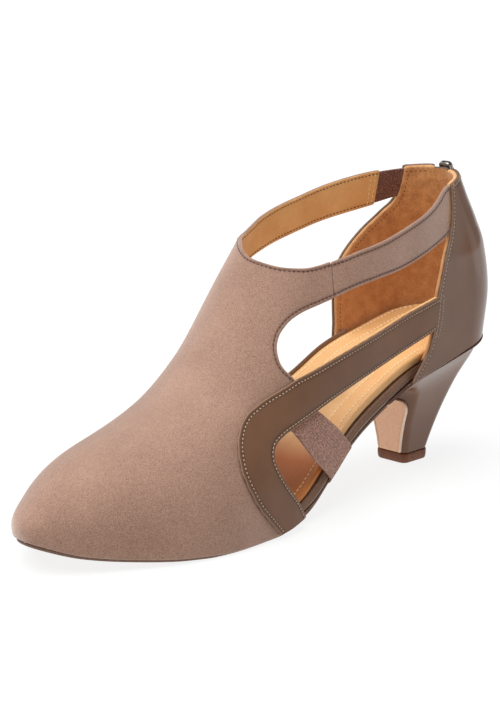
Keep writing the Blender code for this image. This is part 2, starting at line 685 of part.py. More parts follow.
def add_zip_pull():
    """A flat tab with an eye; its top bar is the pin that turns in the slider's bail."""
    axis, half = pin_axis(), PULL["half_width"]
    thick = 0.5 * PULL["thick"]
    pull = slider_box("zip_pull", (axis - thick, -half, -PULL["length"]), (axis + thick, half, 0.0), "metal")
    eye = slider_box("pull_eye", (axis - 3.0, -PULL["arm"], -PULL["eye"]), (axis + 3.0, PULL["arm"], 3.0))
    boolean(pull, eye)
    turns = np.radians(np.arange(12) * 30)
    ring = np.column_stack([axis + PULL["pin_radius"] * np.cos(turns), PULL["pin_radius"] * np.sin(turns)])
    ends = [slider_place(np.column_stack([ring[:, 0], np.full(12, y), ring[:, 1]])) for y in (-half, half)]
    pin = loft("pull_pin", ends, None)
    boolean(pull, pin, "UNION")


def remove_old_objects():
    for old in list(bpy.data.objects):
        bpy.data.objects.remove(old, do_unlink=True)


def main():
    remove_old_objects()
    add_upper()
    add_side_band()
    add_counter_cover()
    add_arch_elastic()
    add_strap_elastic()
    add_sole()
    add_heel()
    add_breast_panel()
    add_zip()
    add_zip_slider()
    add_zip_pull()


main()
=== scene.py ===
# Looks of the women's cut-out shootie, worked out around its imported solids.
# Lengths are millimetres from the back of the heel seat:
# x to the toe, y to the outer side, z up from the floor.

import bmesh
import bpy
import numpy as np
from mathutils import Matrix, Vector


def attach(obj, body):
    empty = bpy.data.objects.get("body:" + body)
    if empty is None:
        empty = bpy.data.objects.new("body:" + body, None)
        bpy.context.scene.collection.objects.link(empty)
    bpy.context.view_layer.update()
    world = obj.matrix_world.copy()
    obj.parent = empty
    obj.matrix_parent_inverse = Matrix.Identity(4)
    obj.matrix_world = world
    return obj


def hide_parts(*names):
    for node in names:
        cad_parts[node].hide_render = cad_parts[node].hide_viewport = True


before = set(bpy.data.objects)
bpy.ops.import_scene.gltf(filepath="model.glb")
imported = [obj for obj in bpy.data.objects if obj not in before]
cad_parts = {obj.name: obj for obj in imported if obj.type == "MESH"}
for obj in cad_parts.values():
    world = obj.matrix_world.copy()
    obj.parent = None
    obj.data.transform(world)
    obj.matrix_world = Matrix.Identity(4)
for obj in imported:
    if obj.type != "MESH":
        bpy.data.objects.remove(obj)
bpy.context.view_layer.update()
print("frame loaded")

shoeCentre = np.array((123.78, 0.96, 0.0))  # the frame's origin, in the shoe's millimetres


def toMetres(points):
    return (np.asarray(points, float) - shoeCentre) * 0.001


# The last, as in the solids. along runs from the heel (0) to the toe (1) and is below 0 on the inner side,
# rise from the feather (0) to the ridge (1) and is above 1 where a piece comes down on the inner side.
last = dict(
    length=249.5, heelRadius=26.0, noseWidthFrom=185.0, noseHeightFrom=205.0, noseHeightPower=3.0,
    toeBulge=1.5, toeBulgeFrom=215.0, toeBulgeHeight=14.0, backFade=70.0, ankleFade=100.0,
    columns=("x", "feather", "crown", "lateral", "medial", "full", "bulge"),
    rows=np.array((
        (0, 57.0, 205, 26.0, 26.0, 2.6, 0.0),
        (20, 53.5, 205, 26.0, 26.0, 2.6, 0.0),
        (40, 49.0, 205, 26.5, 26.5, 2.6, 1.5),
        (65, 43.0, 203, 27.0, 26.0, 2.6, 4.5),
        (85, 34.7, 188, 27.5, 25.0, 2.5, 5.0),
        (102, 26.4, 160, 29.0, 26.0, 2.4, 4.0),
        (117, 16.4, 131.5, 31.5, 28.5, 2.3, 2.5),
        (137, 5.8, 102.2, 36.0, 33.5, 2.2, 1.0),
        (156, 1.9, 73, 39.0, 37.0, 2.2, 0.5),
        (175, 1.5, 55.2, 40.0, 39.0, 2.2, 0.5),
        (200, 2.6, 44.2, 36.5, 39.0, 2.2, 0.5),
        (220, 4.7, 39.4, 31.0, 37.0, 2.2, 0.5),
        (235, 7.3, 36.2, 27.0, 35.0, 2.2, 0.5),
        (249.5, 12.2, 33.5, 24.0, 33.0, 2.2, 0.5),
    )),
    backColumns=("height", "lean", "narrow"),
    backRows=np.array((
        (-20, 2.6, 0.03),
        (0, 1.4, 0.02),
        (20, -1.6, -0.01),
        (40, 1.0, 0.07),
        (50, 4.9, 0.18),
        (62, 10.8, 0.32),
        (75, 16.4, 0.45),
        (95, 23.0, 0.54),
    )),
)


def cubic(start, startRise, end, endRise, part):
    # cubic piece from start to end; each rise is the slope there times the length of the piece
    rest = 1.0 - part
    return (start * (1 + 2 * part) * rest ** 2 + startRise * part * rest ** 2
            + end * part ** 2 * (3 - 2 * part) - endRise * part ** 2 * rest)


def smoothRead(knots, values, where):
    # cubic pieces through the knots, with slopes from the harmonic mean so that it never overshoots
    steps = np.diff(knots)
    slopes = np.diff(values) / steps
    sameWay = slopes[:-1] * slopes[1:] > 0
    before = np.where(sameWay, slopes[:-1], 1.0)
    after = np.where(sameWay, slopes[1:], 1.0)
    weightBefore = 2 * steps[1:] + steps[:-1]
    weightAfter = steps[1:] + 2 * steps[:-1]
    middle = (weightBefore + weightAfter) / (weightBefore / before + weightAfter / after)
    tangents = np.concatenate(([slopes[0]], np.where(sameWay, middle, 0.0), [slopes[-1]]))
    span = np.clip(np.searchsorted(knots, where) - 1, 0, len(steps) - 1)
    part = np.clip((where - knots[span]) / steps[span], 0.0, 1.0)
    startRise, endRise = tangents[span] * steps[span], tangents[span + 1] * steps[span]
    return cubic(values[span], startRise, values[span + 1], endRise, part)


def tableValue(columns, rows, name, where):
    return smoothRead(rows[:, 0], rows[:, columns.index(name)], np.asarray(where, float))


def lastValue(name, x):
    return tableValue(last["columns"], last["rows"], name, x)


def backValue(name, height):
    return tableValue(last["backColumns"], last["backRows"], name, height)


def shareOf(x, start, end):
    return np.clip((x - start) / (end - start), 0.0, 1.0)


def planRounding(x):
    # share of the full width: a quarter ellipse at the heel times one at the toe
    heel = 1.0 - shareOf(x, 0.0, last["heelRadius"])
    toe = shareOf(x, last["noseWidthFrom"], last["length"])
    return np.sqrt(1.0 - heel ** 2) * np.sqrt(1.0 - toe ** 2)


def crownHeight(x):
    # height of the ridge over the feather, rounded off at the nose: root(1 - share^power)
    nose = np.sqrt(1.0 - shareOf(x, last["noseHeightFrom"], last["length"]) ** last["noseHeightPower"])
    return (lastValue("crown", x) - lastValue("feather", x)) * nose


def forwardShift(x, height):
    # the back's lean and the toe's swell, both along x
    lean = backValue("lean", height) * (1.0 - shareOf(x, 0.0, last["backFade"])) ** 2
    toe = last["toeBulge"] * shareOf(x, last["toeBulgeFrom"], last["length"]) ** 2
    return lean + toe * np.sin(np.pi * shareOf(height, 0.0, last["toeBulgeHeight"]))


def alongToX(along):
    return last["length"] * (0.5 - 0.5 * np.cos(np.pi * along))


def xToAlong(x):
    return np.arccos(np.clip(1.0 - 2.0 * np.asarray(x, float) / last["length"], -1.0, 1.0)) / np.pi


def formPoint(along, rise):
    # section: width = half width * root(1 - level^full) + bulge * sin(pi * level), at height = crown * level
    side = np.where(along < 0, -1.0, 1.0) * np.where(rise > 1, -1.0, 1.0)
    x = alongToX(np.minimum(np.abs(along), 1.0))
    level = np.sin(0.5 * np.pi * np.clip(np.where(rise > 1, 2 - rise, rise), 0.0, 1.0))
    half = np.where(side > 0, lastValue("lateral", x), lastValue("medial", x))
    arch = np.sqrt(np.clip(1.0 - level ** lastValue("full", x), 0.0, 1.0))
    height = crownHeight(x) * level
    width = planRounding(x) * (half * arch + lastValue("bulge", x) * np.sin(np.pi * level))
    width = width * (1.0 - backValue("narrow", height) * (1.0 - shareOf(x, 0.0, last["ankleFade"])) ** 2)
    return np.stack([x + forwardShift(x, height), side * width, lastValue("feather", x) + height], axis=-1)


def onForm(line):
    return formPoint(line[..., 0], line[..., 1])


def unit(vectors):
    size = np.linalg.norm(vectors, axis=-1, keepdims=True)
    return vectors / np.maximum(size, 1e-9)


def formFrame(line):
    # point, outward normal and the two slopes of the form at (along, rise)
    along, rise = line[..., 0], line[..., 1]
    reach = 1e-3
    ahead, behind = np.minimum(along + reach, 1.0), np.maximum(along - reach, -1.0)
    up, down = np.minimum(rise + reach, 2.0), np.maximum(rise - reach, 0.0)
    alongSlope = (formPoint(ahead, rise) - formPoint(behind, rise)) / (ahead - behind)[..., None]
    riseSlope = (formPoint(along, up) - formPoint(along, down)) / (up - down)[..., None]
    normal = np.cross(riseSlope, alongSlope)
    atToe = np.linalg.norm(normal, axis=-1) < 1.0
    normal[atToe] = (1.0, 0.0, 0.0)
    return formPoint(along, rise), unit(normal), alongSlope, riseSlope


def fromSide(line, side):
    # (x, z) seen from the side to (along, rise), by correcting x for the lean until it settles
    line = np.asarray(line, float)
    x = np.clip(line[..., 0], 0.0, last["length"])
    for turn in range(60):
        height = line[..., 1] - lastValue("feather", x)
        x = np.clip(0.5 * x + 0.5 * (line[..., 0] - forwardShift(x, height)), 0.0, last["length"])
    level = np.clip((line[..., 1] - lastValue("feather", x)) / np.maximum(crownHeight(x), 1e-6), 0.0, 1.0)
    return np.stack([side * xToAlong(x), np.arcsin(level) * 2 / np.pi], axis=-1)


def overRidge(line):
    # the same points of the inner side, reached over the ridge instead of round the back
    return np.stack([-line[..., 0], 2.0 - line[..., 1]], axis=-1)


def curveThrough(points, step=0.3):
    # Catmull-Rom curve by root chord length, in short pieces
    points = np.asarray(points, float)
    chords = np.sqrt(np.linalg.norm(np.diff(points, axis=0), axis=1))
    knots = np.concatenate(([0.0], np.cumsum(chords)))
    slopes = np.gradient(points, knots, axis=0)
    made = [points[:1]]
    for index, span in enumerate(np.diff(knots)):
        count = max(1, int(np.ceil(np.linalg.norm(points[index + 1] - points[index]) / step)))
        part = (np.arange(1, count + 1) / count)[:, None]
        startRise, endRise = slopes[index] * span, slopes[index + 1] * span
        made.append(cubic(points[index], startRise, points[index + 1], endRise, part))
    return np.concatenate(made)


def heightOf(points, x):
    curve = curveThrough(points)
    order = np.argsort(curve[:, 0])
    return np.interp(x, curve[order, 0], curve[order, 1])


def lineByX(points, xFrom, xTo):
    x = np.linspace(xFrom, xTo, 120)
    return np.column_stack([x, heightOf(points, x)])


def straight(start, end):
    share = np.linspace(0.0, 1.0, 60)[:, None]
    return np.asarray(start, float) * (1 - share) + np.asarray(end, float) * share


def lengths(points):
    return np.concatenate(([0.0], np.cumsum(np.linalg.norm(np.diff(points, axis=0), axis=1))))


def resample(line, shares):
    # points of an (along, rise) line at shares of its true length
    run = lengths(onForm(line))
    run = run / run[-1]
    return np.column_stack([np.interp(shares, run, line[:, 0]), np.interp(shares, run, line[:, 1])])


def nearLine(line, distance):
    # moves a line over the form to its left, seen from outside, in small steps along normal x tangent
    turns = int(np.ceil(abs(distance) / 0.8))
    line = np.array(line, float)
    for turn in range(turns):
        point, normal, alongSlope, riseSlope = formFrame(line)
        inward = edgeDirection(point, normal, False) * (distance / turns)
        aa, ar, rr = ((alongSlope ** 2).sum(-1), (alongSlope * riseSlope).sum(-1), (riseSlope ** 2).sum(-1))
        fa, fr = (alongSlope * inward).sum(-1), (riseSlope * inward).sum(-1)
        size = np.maximum(aa * rr - ar ** 2, 1e-6)
        line = line + np.stack([(rr * fa - ar * fr) / size, (aa * fr - ar * fa) / size], axis=-1)
    return line


def edgeDirection(point, normal, closed):
    if closed:
        tangent = np.roll(point, -1, axis=0) - np.roll(point, 1, axis=0)
    else:
        tangent = np.gradient(point, axis=0)
    return unit(np.cross(normal, unit(tangent)))


def coons(left, top, right, bottom):
    # patch between four lines that follow each other round it: the two ruled surfaces added,
    # less the bilinear one through the corners
    right, low = right[::-1], bottom[::-1]
    u = np.linspace(0, 1, len(low))[:, None, None]
    v = np.linspace(0, 1, len(left))[None, :, None]
    ruled = (1 - v) * low[:, None] + v * top[:, None] + (1 - u) * left[None] + u * right[None]
    corners = ((1 - u) * (1 - v) * low[0] + u * (1 - v) * low[-1] + (1 - u) * v * top[0] + u * v * top[-1])
    return ruled - corners


# Mesh making
farAway = 50.0  # edge distance of points that have no finished edge near them


def gridFaces(rows, columns, start, wrapRows=False, wrapColumns=False):
    # four-sided faces of a grid, numbered from start
    index = np.arange(rows * columns).reshape(rows, columns) + start
    if wrapRows:
        index = np.concatenate([index, index[:1]], axis=0)
    if wrapColumns:
        index = np.concatenate([index, index[:, :1]], axis=1)
    return np.stack([index[:-1, :-1], index[1:, :-1], index[1:, 1:], index[:-1, 1:]], axis=-1).reshape(-1, 4)


def surface(points, finish=0, uv=None, wrapRows=False, wrapColumns=False, edge=None, normals=None):
    return dict(points=points, finish=finish, uv=uv, wrapRows=wrapRows, wrapColumns=wrapColumns, edge=edge,
                normals=normals)


def flatUv(points):
    # millimetres along and across a grid, from its middle lines
    along = lengths(points[:, points.shape[1] // 2])
    across = lengths(points[points.shape[0] // 2])
    return np.stack(np.meshgrid(along, across, indexing="ij"), axis=-1)


def addPiece(name, surfaces, finishes, body="shoe", replaces=(), sharp=None, weld=1e-7):
    points, faces, uvs, edges, finishIndex, start = [], [], [], [], [], 0
    for item in surfaces:
        rows, columns = item["points"].shape[:2]
        quads = gridFaces(rows, columns, start, item["wrapRows"], item["wrapColumns"])
        uv = item["uv"] if item["uv"] is not None else flatUv(item["points"])
        points.append(item["points"].reshape(-1, 3))
        faces.append(quads)
        uvs.append(uv.reshape(-1, 2))
        edges.append(np.full(rows * columns, farAway) if item["edge"] is None else item["edge"].reshape(-1))
        finishIndex.append(np.full(len(quads), item["finish"]))
        start += rows * columns
    points, faces, uvs = toMetres(np.concatenate(points)), np.concatenate(faces), np.concatenate(uvs) * 0.001
    mesh = bpy.data.meshes.new(name)
    mesh.from_pydata(points.tolist(), [], faces.tolist())
    for finish in finishes:
        mesh.materials.append(finish)
    mesh.polygons.foreach_set("material_index", np.concatenate(finishIndex).astype(np.int32))
    layer = mesh.uv_layers.new(name="cloth")
    layer.data.foreach_set("uv", uvs[faces.reshape(-1)].astype(np.float32).reshape(-1))
    edge = mesh.attributes.new("edge", "FLOAT", "POINT")
    edge.data.foreach_set("value", np.concatenate(edges).astype(np.float32))
    exact = all(item["normals"] is not None for item in surfaces)
    if exact:
        normals = np.concatenate([item["normals"].reshape(-1, 3) for item in surfaces])
        mesh.attributes.new("exact", "FLOAT_VECTOR", "POINT").data.foreach_set("vector", normals.reshape(-1))
    tidy = bmesh.new()
    tidy.from_mesh(mesh)
    bmesh.ops.remove_doubles(tidy, verts=tidy.verts, dist=weld)
    bmesh.ops.dissolve_degenerate(tidy, edges=tidy.edges, dist=weld)
    bmesh.ops.recalc_face_normals(tidy, faces=tidy.faces)
    if tidy.calc_volume(signed=True) < 0:
        bmesh.ops.reverse_faces(tidy, faces=tidy.faces)
    tidy.to_mesh(mesh)
    tidy.free()
    mesh.shade_smooth()
    if exact:
        normals = np.empty(3 * len(mesh.vertices), np.float32)
        mesh.attributes["exact"].data.foreach_get("vector", normals)
        mesh.normals_split_custom_set_from_vertices(normals.reshape(-1, 3).tolist())
        mesh.attributes.remove(mesh.attributes["exact"])
    if sharp:
        mesh.set_sharp_from_angle(angle=np.radians(sharp))
    piece = bpy.data.objects.new(name, mesh)
    bpy.context.scene.collection.objects.link(piece)
    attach(piece, body)
    if replaces:
        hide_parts(*replaces)


def circle(count):
    return np.linspace(0, 2 * np.pi, count + 1)[:-1]


def fanCap(ring, rows=2):
    # closes a ring with a grid that shrinks to its middle
    middle = ring.mean(axis=0, keepdims=True)
    share = np.linspace(0, 1, rows + 1)[:, None, None]
    return ring[None] * (1 - share) + middle[None] * share


def capped(rings):
    # a tube of rings, closed at both ends
    ends = [surface(fanCap(rings[place]), wrapColumns=True) for place in (0, -1)]
    return [surface(rings, wrapColumns=True)] + ends


def edgeBead(loop, inner, outer, turns=8):
    # half round carried along a closed edge: middle + half * (cos * normal - sin * inward)
    point, normal = formFrame(loop)[:2]
    inward = edgeDirection(point, normal, True)
    angle = np.linspace(0, np.pi, turns + 1)[None, :, None]
    middle, half = 0.5 * (inner + outer), 0.5 * (outer - inner)
    facing = normal[:, None] * np.cos(angle) - inward[:, None] * np.sin(angle)
    return point[:, None] + normal[:, None] * middle + half * facing, facing


def skin(grid, offset):
    # points of the form moved out along its normal: point + normal * offset
    point, normal = formFrame(grid)[:2]
    return point + normal * np.asarray(offset)[..., None]


def edgeDistance(points, edges):
    # millimetres from each point to the nearest of the finished edges
    flat = points.reshape(-1, 3)
    near = np.full(len(flat), farAway)
    for line in edges:
        line = resample(line, np.linspace(0, 1, 160))
        target = onForm(line)
        for start in range(0, len(target), 40):
            apart = np.linalg.norm(flat[:, None] - target[None, start:start + 40], axis=-1)
            near = np.minimum(near, apart.min(axis=1))
    return near.reshape(points.shape[:2])


def sheetSurfaces(patches, loop, inner, outer, edges=(), roll=0.0):
    # two skins and the rolled edge that joins them; the outer finish goes round most of the roll
    made = []
    for patch in patches:
        level = np.zeros(patch.shape[:2])
        middle = skin(patch, level)
        uv, edge = flatUv(middle), edgeDistance(middle, edges) + roll
        normal = formFrame(patch)[1]
        made.append(surface(skin(patch, level + outer), 0, uv, edge=edge, normals=normal))
        made.append(surface(skin(patch, level + inner), 1, uv, edge=edge, normals=-normal))
    bead, facing = edgeBead(loop, inner, outer)
    split = bead.shape[1] * 3 // 4
    away = edgeDistance(onForm(loop)[:, None], edges) + roll
    edge = away - 0.5 * (outer - inner) * np.sin(np.linspace(0, np.pi, bead.shape[1]))
    for part, finish in ((slice(0, split + 1), 0), (slice(split, None), 1)):
        made.append(surface(bead[:, part], finish, wrapRows=True, edge=edge[:, part],
                            normals=facing[:, part]))
    return made


def trimmed(first, second):
    # two lines cut back to where the end of the first crosses the start of the second
    run, other = np.diff(first, axis=0)[:, None], np.diff(second, axis=0)[None]
    gap = second[None, :-1] - first[:-1, None]
    size = run[..., 0] * other[..., 1] - run[..., 1] * other[..., 0]
    size = np.where(np.abs(size) < 1e-15, 1e-15, size)
    share = (gap[..., 0] * other[..., 1] - gap[..., 1] * other[..., 0]) / size
    otherShare = (gap[..., 0] * run[..., 1] - gap[..., 1] * run[..., 0]) / size
    rows, columns = np.nonzero((share >= 0) & (share <= 1) & (otherShare >= 0) & (otherShare <= 1))
    if len(rows) == 0:
        corner = 0.5 * (first[-1:] + second[:1])
        return np.concatenate([first[:-1], corner]), np.concatenate([corner, second[1:]])
    row, column = rows[-1], columns[-1]
    corner = first[row:row + 1] + share[row, column] * run[row]
    return np.concatenate([first[:row + 1], corner]), np.concatenate([corner, second[column + 1:]])


def movedIn(sides, inset, closed=True):
    # sides of an outline, each moved in by inset and cut at the corners
    sides = [nearLine(resample(side, np.linspace(0, 1, 200)), inset) for side in sides]
    for index in range(len(sides) if closed else len(sides) - 1):
        after = (index + 1) % len(sides)
        sides[index], sides[after] = trimmed(sides[index], sides[after])
    return sides


def closedBy(top, low):
    # the two lines with straight ends between them, in order round the outline
    return np.linspace(low[-1], top[0], 40), top, np.linspace(top[-1], low[0], 40), low


def fourSided(left, top, right, bottom, counts, inset):
    # closed outline from four lines, moved in by inset, and the patch inside it; counts is (along, across)
    sides = movedIn((left, top, right, bottom), inset)
    counts = counts[::-1] + counts[::-1]
    sides = [resample(side, np.linspace(0, 1, count)) for side, count in zip(sides, counts)]
    return coons(*sides), np.concatenate([side[:-1] for side in sides])


def addSheet(name, sides, size, finishes, edges=(), replaces=()):
    # a sheet inside four lines; size gives its inner and outer offset, counts and inset
    patch, loop = fourSided(*sides, size["counts"], size["inset"])
    surfaces = sheetSurfaces([patch], loop, size["inner"], size["outer"], edges)
    addPiece(name, surfaces, finishes, replaces=replaces)


# Finishes

class Value:
    # a shader socket that can stand in a sum or a product
    def __init__(self, tree, socket):
        self.tree, self.socket = tree, socket

    def math(self, operation, first, second):
        made = self.tree.nodes.new("ShaderNodeMath")
        made.operation = operation
        for place, item in zip(made.inputs, (first, second)):
            if isinstance(item, Value):
                self.tree.links.new(item.socket, place)
            else:
                place.default_value = item
        return Value(self.tree, made.outputs[0])

    def __add__(self, other):
        return self.math("ADD", self, other)

    def __radd__(self, other):
        return self.math("ADD", other, self)

    def __sub__(self, other):
        return self.math("SUBTRACT", self, other)

    def __rsub__(self, other):
        return self.math("SUBTRACT", other, self)

    def __mul__(self, other):
        return self.math("MULTIPLY", self, other)

    def __rmul__(self, other):
        return self.math("MULTIPLY", other, self)

    def __truediv__(self, other):
        return self.math("DIVIDE", self, other)

    def __rtruediv__(self, other):
        return self.math("DIVIDE", other, self)


class Finish:
    # one material: node() adds any node, the rest are the few that every finish uses
    def __init__(self, name, **constants):
        self.material = bpy.data.materials.new(name)
        self.material.use_nodes = True
        self.tree = self.material.node_tree
        self.shader = self.tree.nodes["Principled BSDF"]
        for socket, value in constants.items():
            self.shader.inputs[socket.replace("_", " ")].default_value = value

    def node(self, kind, settings=None, inputs=None, output=0):
        made = self.tree.nodes.new(kind)
        for name, value in (settings or {}).items():
            if name == "stops":
                for element, (place, shade) in zip(made.color_ramp.elements, value):
                    element.position = place
                    element.color = (shade, shade, shade, 1.0)
            else:
                setattr(made, name, value)
        for name, value in (inputs or {}).items():
            if isinstance(value, Value):
                self.tree.links.new(value.socket, made.inputs[name])
            else:
                made.inputs[name].default_value = value
        return Value(self.tree, made.outputs[output])

    def place(self):
        return self.node("ShaderNodeTexCoord", output=3)

    def cloth(self):
        return self.node("ShaderNodeUVMap", dict(uv_map="cloth"))

    def axis(self, index):
        # metres along x, y or z of the frame
        return self.node("ShaderNodeSeparateXYZ", None, dict(Vector=self.place()), output=index)

    def noise(self, size, detail=2.0, vector=None, roughness=0.5):
        # size is the width of a blotch in millimetres
        inputs = dict(Vector=vector or self.place(), Scale=1000.0 / size, Detail=detail, Roughness=roughness)
        return self.node("ShaderNodeTexNoise", inputs=inputs)

    def ramp(self, value, *stops):
        return self.node("ShaderNodeValToRGB", dict(stops=stops), dict(Fac=value))

    def mix(self, share, first, second):
        settings = dict(data_type="RGBA", blend_type="MIX")
        return self.node("ShaderNodeMix", settings, {0: share, 6: first, 7: second}, output=2)

    def blend(self, value, low, high, first, second):
        # first where the value is below low, second where it is above high
        return self.mix(self.ramp(value, (low, 0.0), (high, 1.0)), first, second)

    def feed(self, socket, value):
        self.tree.links.new(value.socket, self.shader.inputs[socket])

    def edge(self):
        return self.node("ShaderNodeAttribute", dict(attribute_name="edge"), output=2)

    def groove(self, distance, width):
        # 1 along a seam at the distance from the edge, falling off over the width: 1 / (1 + ((d - s) / w)^2)
        away = (self.edge() - distance) / width
        return 1.0 / (1.0 + away * away)

    def bump(self, height, strength=0.8):
        # height is in millimetres
        inputs = dict(Height=height, Distance=0.001, Strength=strength)
        self.feed("Normal", self.node("ShaderNodeBump", None, inputs))


def tone(red, green, blue):
    # display colour (0 to 255) to linear
    value = np.array((red, green, blue)) / 255.0
    linear = np.where(value < 0.04045, value / 12.92, ((value + 0.055) / 1.055) ** 2.4)
    return (*linear.tolist(), 1.0)


def makeSuede():
    suede = Finish("suede", Roughness=0.7, Sheen_Weight=0.85, Sheen_Roughness=0.45,
                   Sheen_Tint=tone(246, 232, 224), Specular_IOR_Level=0.45)
    nap = suede.noise(0.5, 3.0, roughness=0.7)
    tuft = suede.noise(1.9)
    patch = suede.noise(21.0)
    seam = suede.groove(1.5, 0.35)
    light = nap * 0.74 + tuft * 0.08 + patch * 0.18
    colour = suede.blend(light, 0.36, 0.64, tone(133, 98, 80), tone(181, 143, 122))
    # the stitch groove is darkened as painted shade, besides its bump
    suede.feed("Base Color", suede.mix(seam * 0.62, colour, tone(104, 70, 57)))
    suede.bump(nap * 0.17 + tuft * 0.05 - seam * 0.3)
    return suede.material


def makeLeather(name, dark, light, rough, shine):
    # Pale strip by the edge: part edge paint, part painted highlight on its rounded fold. Dark line at the
    # very edge: painted contact shadow.
    leather = Finish(name, Roughness=rough, Specular_IOR_Level=0.13, Coat_Roughness=0.12, Coat_Weight=shine)
    grain = leather.noise(0.6, 3.0)
    cloud = leather.noise(16.0)
    seam = leather.groove(1.7, 0.4)
    edgePaintAndHighlight = leather.ramp(leather.edge(), (0.2, 1.0), (0.6, 0.0))
    edgeShadow = leather.ramp(leather.edge(), (0.03, 1.0), (0.16, 0.0))
    colour = leather.blend(grain * 0.3 + cloud * 0.7, 0.3, 0.7, dark, light)
    # the stitch groove is darkened as painted shade, besides its bump
    colour = leather.mix(seam * 0.7, colour, tone(66, 46, 36))
    colour = leather.mix(edgePaintAndHighlight * 0.4, colour, tone(184, 154, 132))
    leather.feed("Base Color", leather.mix(edgeShadow * 0.75, colour, tone(62, 42, 33)))
    leather.feed("Roughness", rough - 0.05 + cloud * 0.1)
    leather.bump(grain * 0.022 - seam * 0.28)
    return leather.material


def makeLining():
    lining = Finish("lining", Roughness=0.55)
    grain = lining.noise(0.8, 3.0)
    cloud = lining.noise(12.0)
    seam = lining.groove(1.5, 0.4)
    light = grain * 0.4 + cloud * 0.6
    lining.feed("Base Color", lining.blend(light, 0.32, 0.68, tone(234, 175, 111), tone(250, 201, 137)))
    lining.bump(grain * 0.05 - seam * 0.25)
    return lining.material


def makeHeelLining():
    # painted shade: low grows from 0 to 1 over the 45 mm below a height of 118 mm and darkens the lining
    # towards the bottom, deep inside the shoe
    lining = Finish("heelLining", Roughness=0.9, Sheen_Weight=0.15)
    nap = lining.noise(0.8, 3.0, roughness=0.7)
    blotch = lining.noise(4.5, 4.0)
    low = lining.ramp((0.118 - lining.axis(2)) / 0.045, (0.0, 0.0), (1.0, 1.0))
    colour = lining.blend(nap * 0.5 + blotch * 0.5, 0.37, 0.64, tone(194, 138, 88), tone(242, 192, 134))
    lining.feed("Base Color", lining.mix(low * 0.5, colour, tone(170, 104, 48)))
    lining.bump(nap * 0.15)
    return lining.material


def makeElastic(name, dark, light):
    # ribs along the stretch with an uneven yarn over them
    elastic = Finish(name, Roughness=0.9, Sheen_Weight=0.2)
    uv = elastic.cloth()
    rib = elastic.node("ShaderNodeTexWave", dict(wave_type="BANDS", bands_direction="X", wave_profile="SIN"),
                       dict(Vector=uv, Scale=260.0, Distortion=0.0))
    yarn = elastic.node("ShaderNodeTexVoronoi", dict(feature="F1"),
                        dict(Vector=uv, Scale=1500.0, Randomness=1.0))
    fleck = elastic.noise(0.9, 3.0, uv, 0.7)
    shade = rib * 0.05 + yarn * 0.3 + fleck * 0.65
    elastic.feed("Base Color", elastic.blend(shade, 0.36, 0.66, dark, light))
    elastic.bump(rib * 0.02 + yarn * 0.14 + fleck * 0.12, 0.9)
    return elastic.material


def makeFootbed():
    # border is the strip along the edge; the part under the vamp is darkened to a deep orange as painted
    # shade
    footbed = Finish("footbed", Roughness=0.5)
    grain = footbed.noise(0.9, 3.0)
    cloud = footbed.noise(13.0, 3.0)
    border = footbed.ramp(footbed.edge() / 20.0, (0.44, 1.0), (0.5, 0.0))
    underVampShade = footbed.ramp((footbed.axis(0) + 0.011) / 0.012, (0.0, 0.0), (1.0, 1.0))
    seam = footbed.groove(3.1, 0.45) + footbed.groove(9.6, 0.5)
    colour = footbed.blend(grain * 0.3 + cloud * 0.7, 0.3, 0.7, tone(211, 165, 110), tone(230, 188, 136))
    colour = footbed.mix(border * 0.45, colour, tone(220, 166, 104))
    footbed.feed("Base Color", footbed.mix(underVampShade * 0.92, colour, tone(188, 108, 38)))
    footbed.bump(grain * 0.05 - seam * 0.25)
    return footbed.material


def makePlain(name, dark, light, roughness, size=1.2):
    plain = Finish(name, Roughness=roughness)
    grain = plain.noise(size, 3.0)
    plain.feed("Base Color", plain.blend(grain, 0.3, 0.7, dark, light))
    plain.bump(grain * 0.04)
    return plain.material


def makeMetal():
    metal = Finish("metal", Metallic=1.0, Roughness=0.28)
    scuff = metal.noise(1.5, 3.0)
    metal.feed("Base Color", metal.mix(scuff, tone(128, 124, 120), tone(186, 182, 176)))
    metal.feed("Roughness", 0.2 + scuff * 0.18)
    return metal.material


suede, lining, heelLining = makeSuede(), makeLining(), makeHeelLining()
leather = makeLeather("leather", tone(107, 74, 54), tone(120, 85, 64), 0.32, 0.42)
bandLeather = makeLeather("bandLeather", tone(113, 81, 61), tone(127, 93, 72), 0.34, 0.06)
rimLeather = makeLeather("rimLeather", tone(118, 90, 72), tone(136, 106, 87), 0.3, 0.4)
elastic = makeElastic("elastic", tone(110, 72, 58), tone(194, 146, 126))
darkElastic = makeElastic("darkElastic", tone(80, 50, 40), tone(156, 112, 98))
footbed = makeFootbed()
breast = makePlain("breast", tone(244, 186, 146), tone(252, 202, 164), 0.5)
# the cream of the lip round the breast panel is a painted highlight of its rounded edge
breastEdgeHighlight = makePlain("breastEdgeHighlight", tone(238, 208, 182), tone(246, 222, 200), 0.45)
outsole = makePlain("outsole", tone(106, 76, 60), tone(130, 97, 79), 0.6)
lift = makePlain("lift", tone(100, 50, 18), tone(130, 72, 32), 0.5)
tape = makePlain("tape", tone(84, 68, 58), tone(108, 88, 76), 0.9, 0.6)
metal = makeMetal()
darkThread = makePlain("darkThread", tone(72, 44, 36), tone(98, 64, 54), 0.8, 0.3)
paleThread = makePlain("paleThread", tone(160, 134, 112), tone(196, 170, 146), 0.7, 0.3)
tanThread = makePlain("tanThread", tone(246, 214, 160), tone(255, 238, 200), 0.7, 0.3)
rustThread = makePlain("rustThread", tone(120, 66, 32), tone(150, 88, 46), 0.8, 0.3)
print("finishes made")


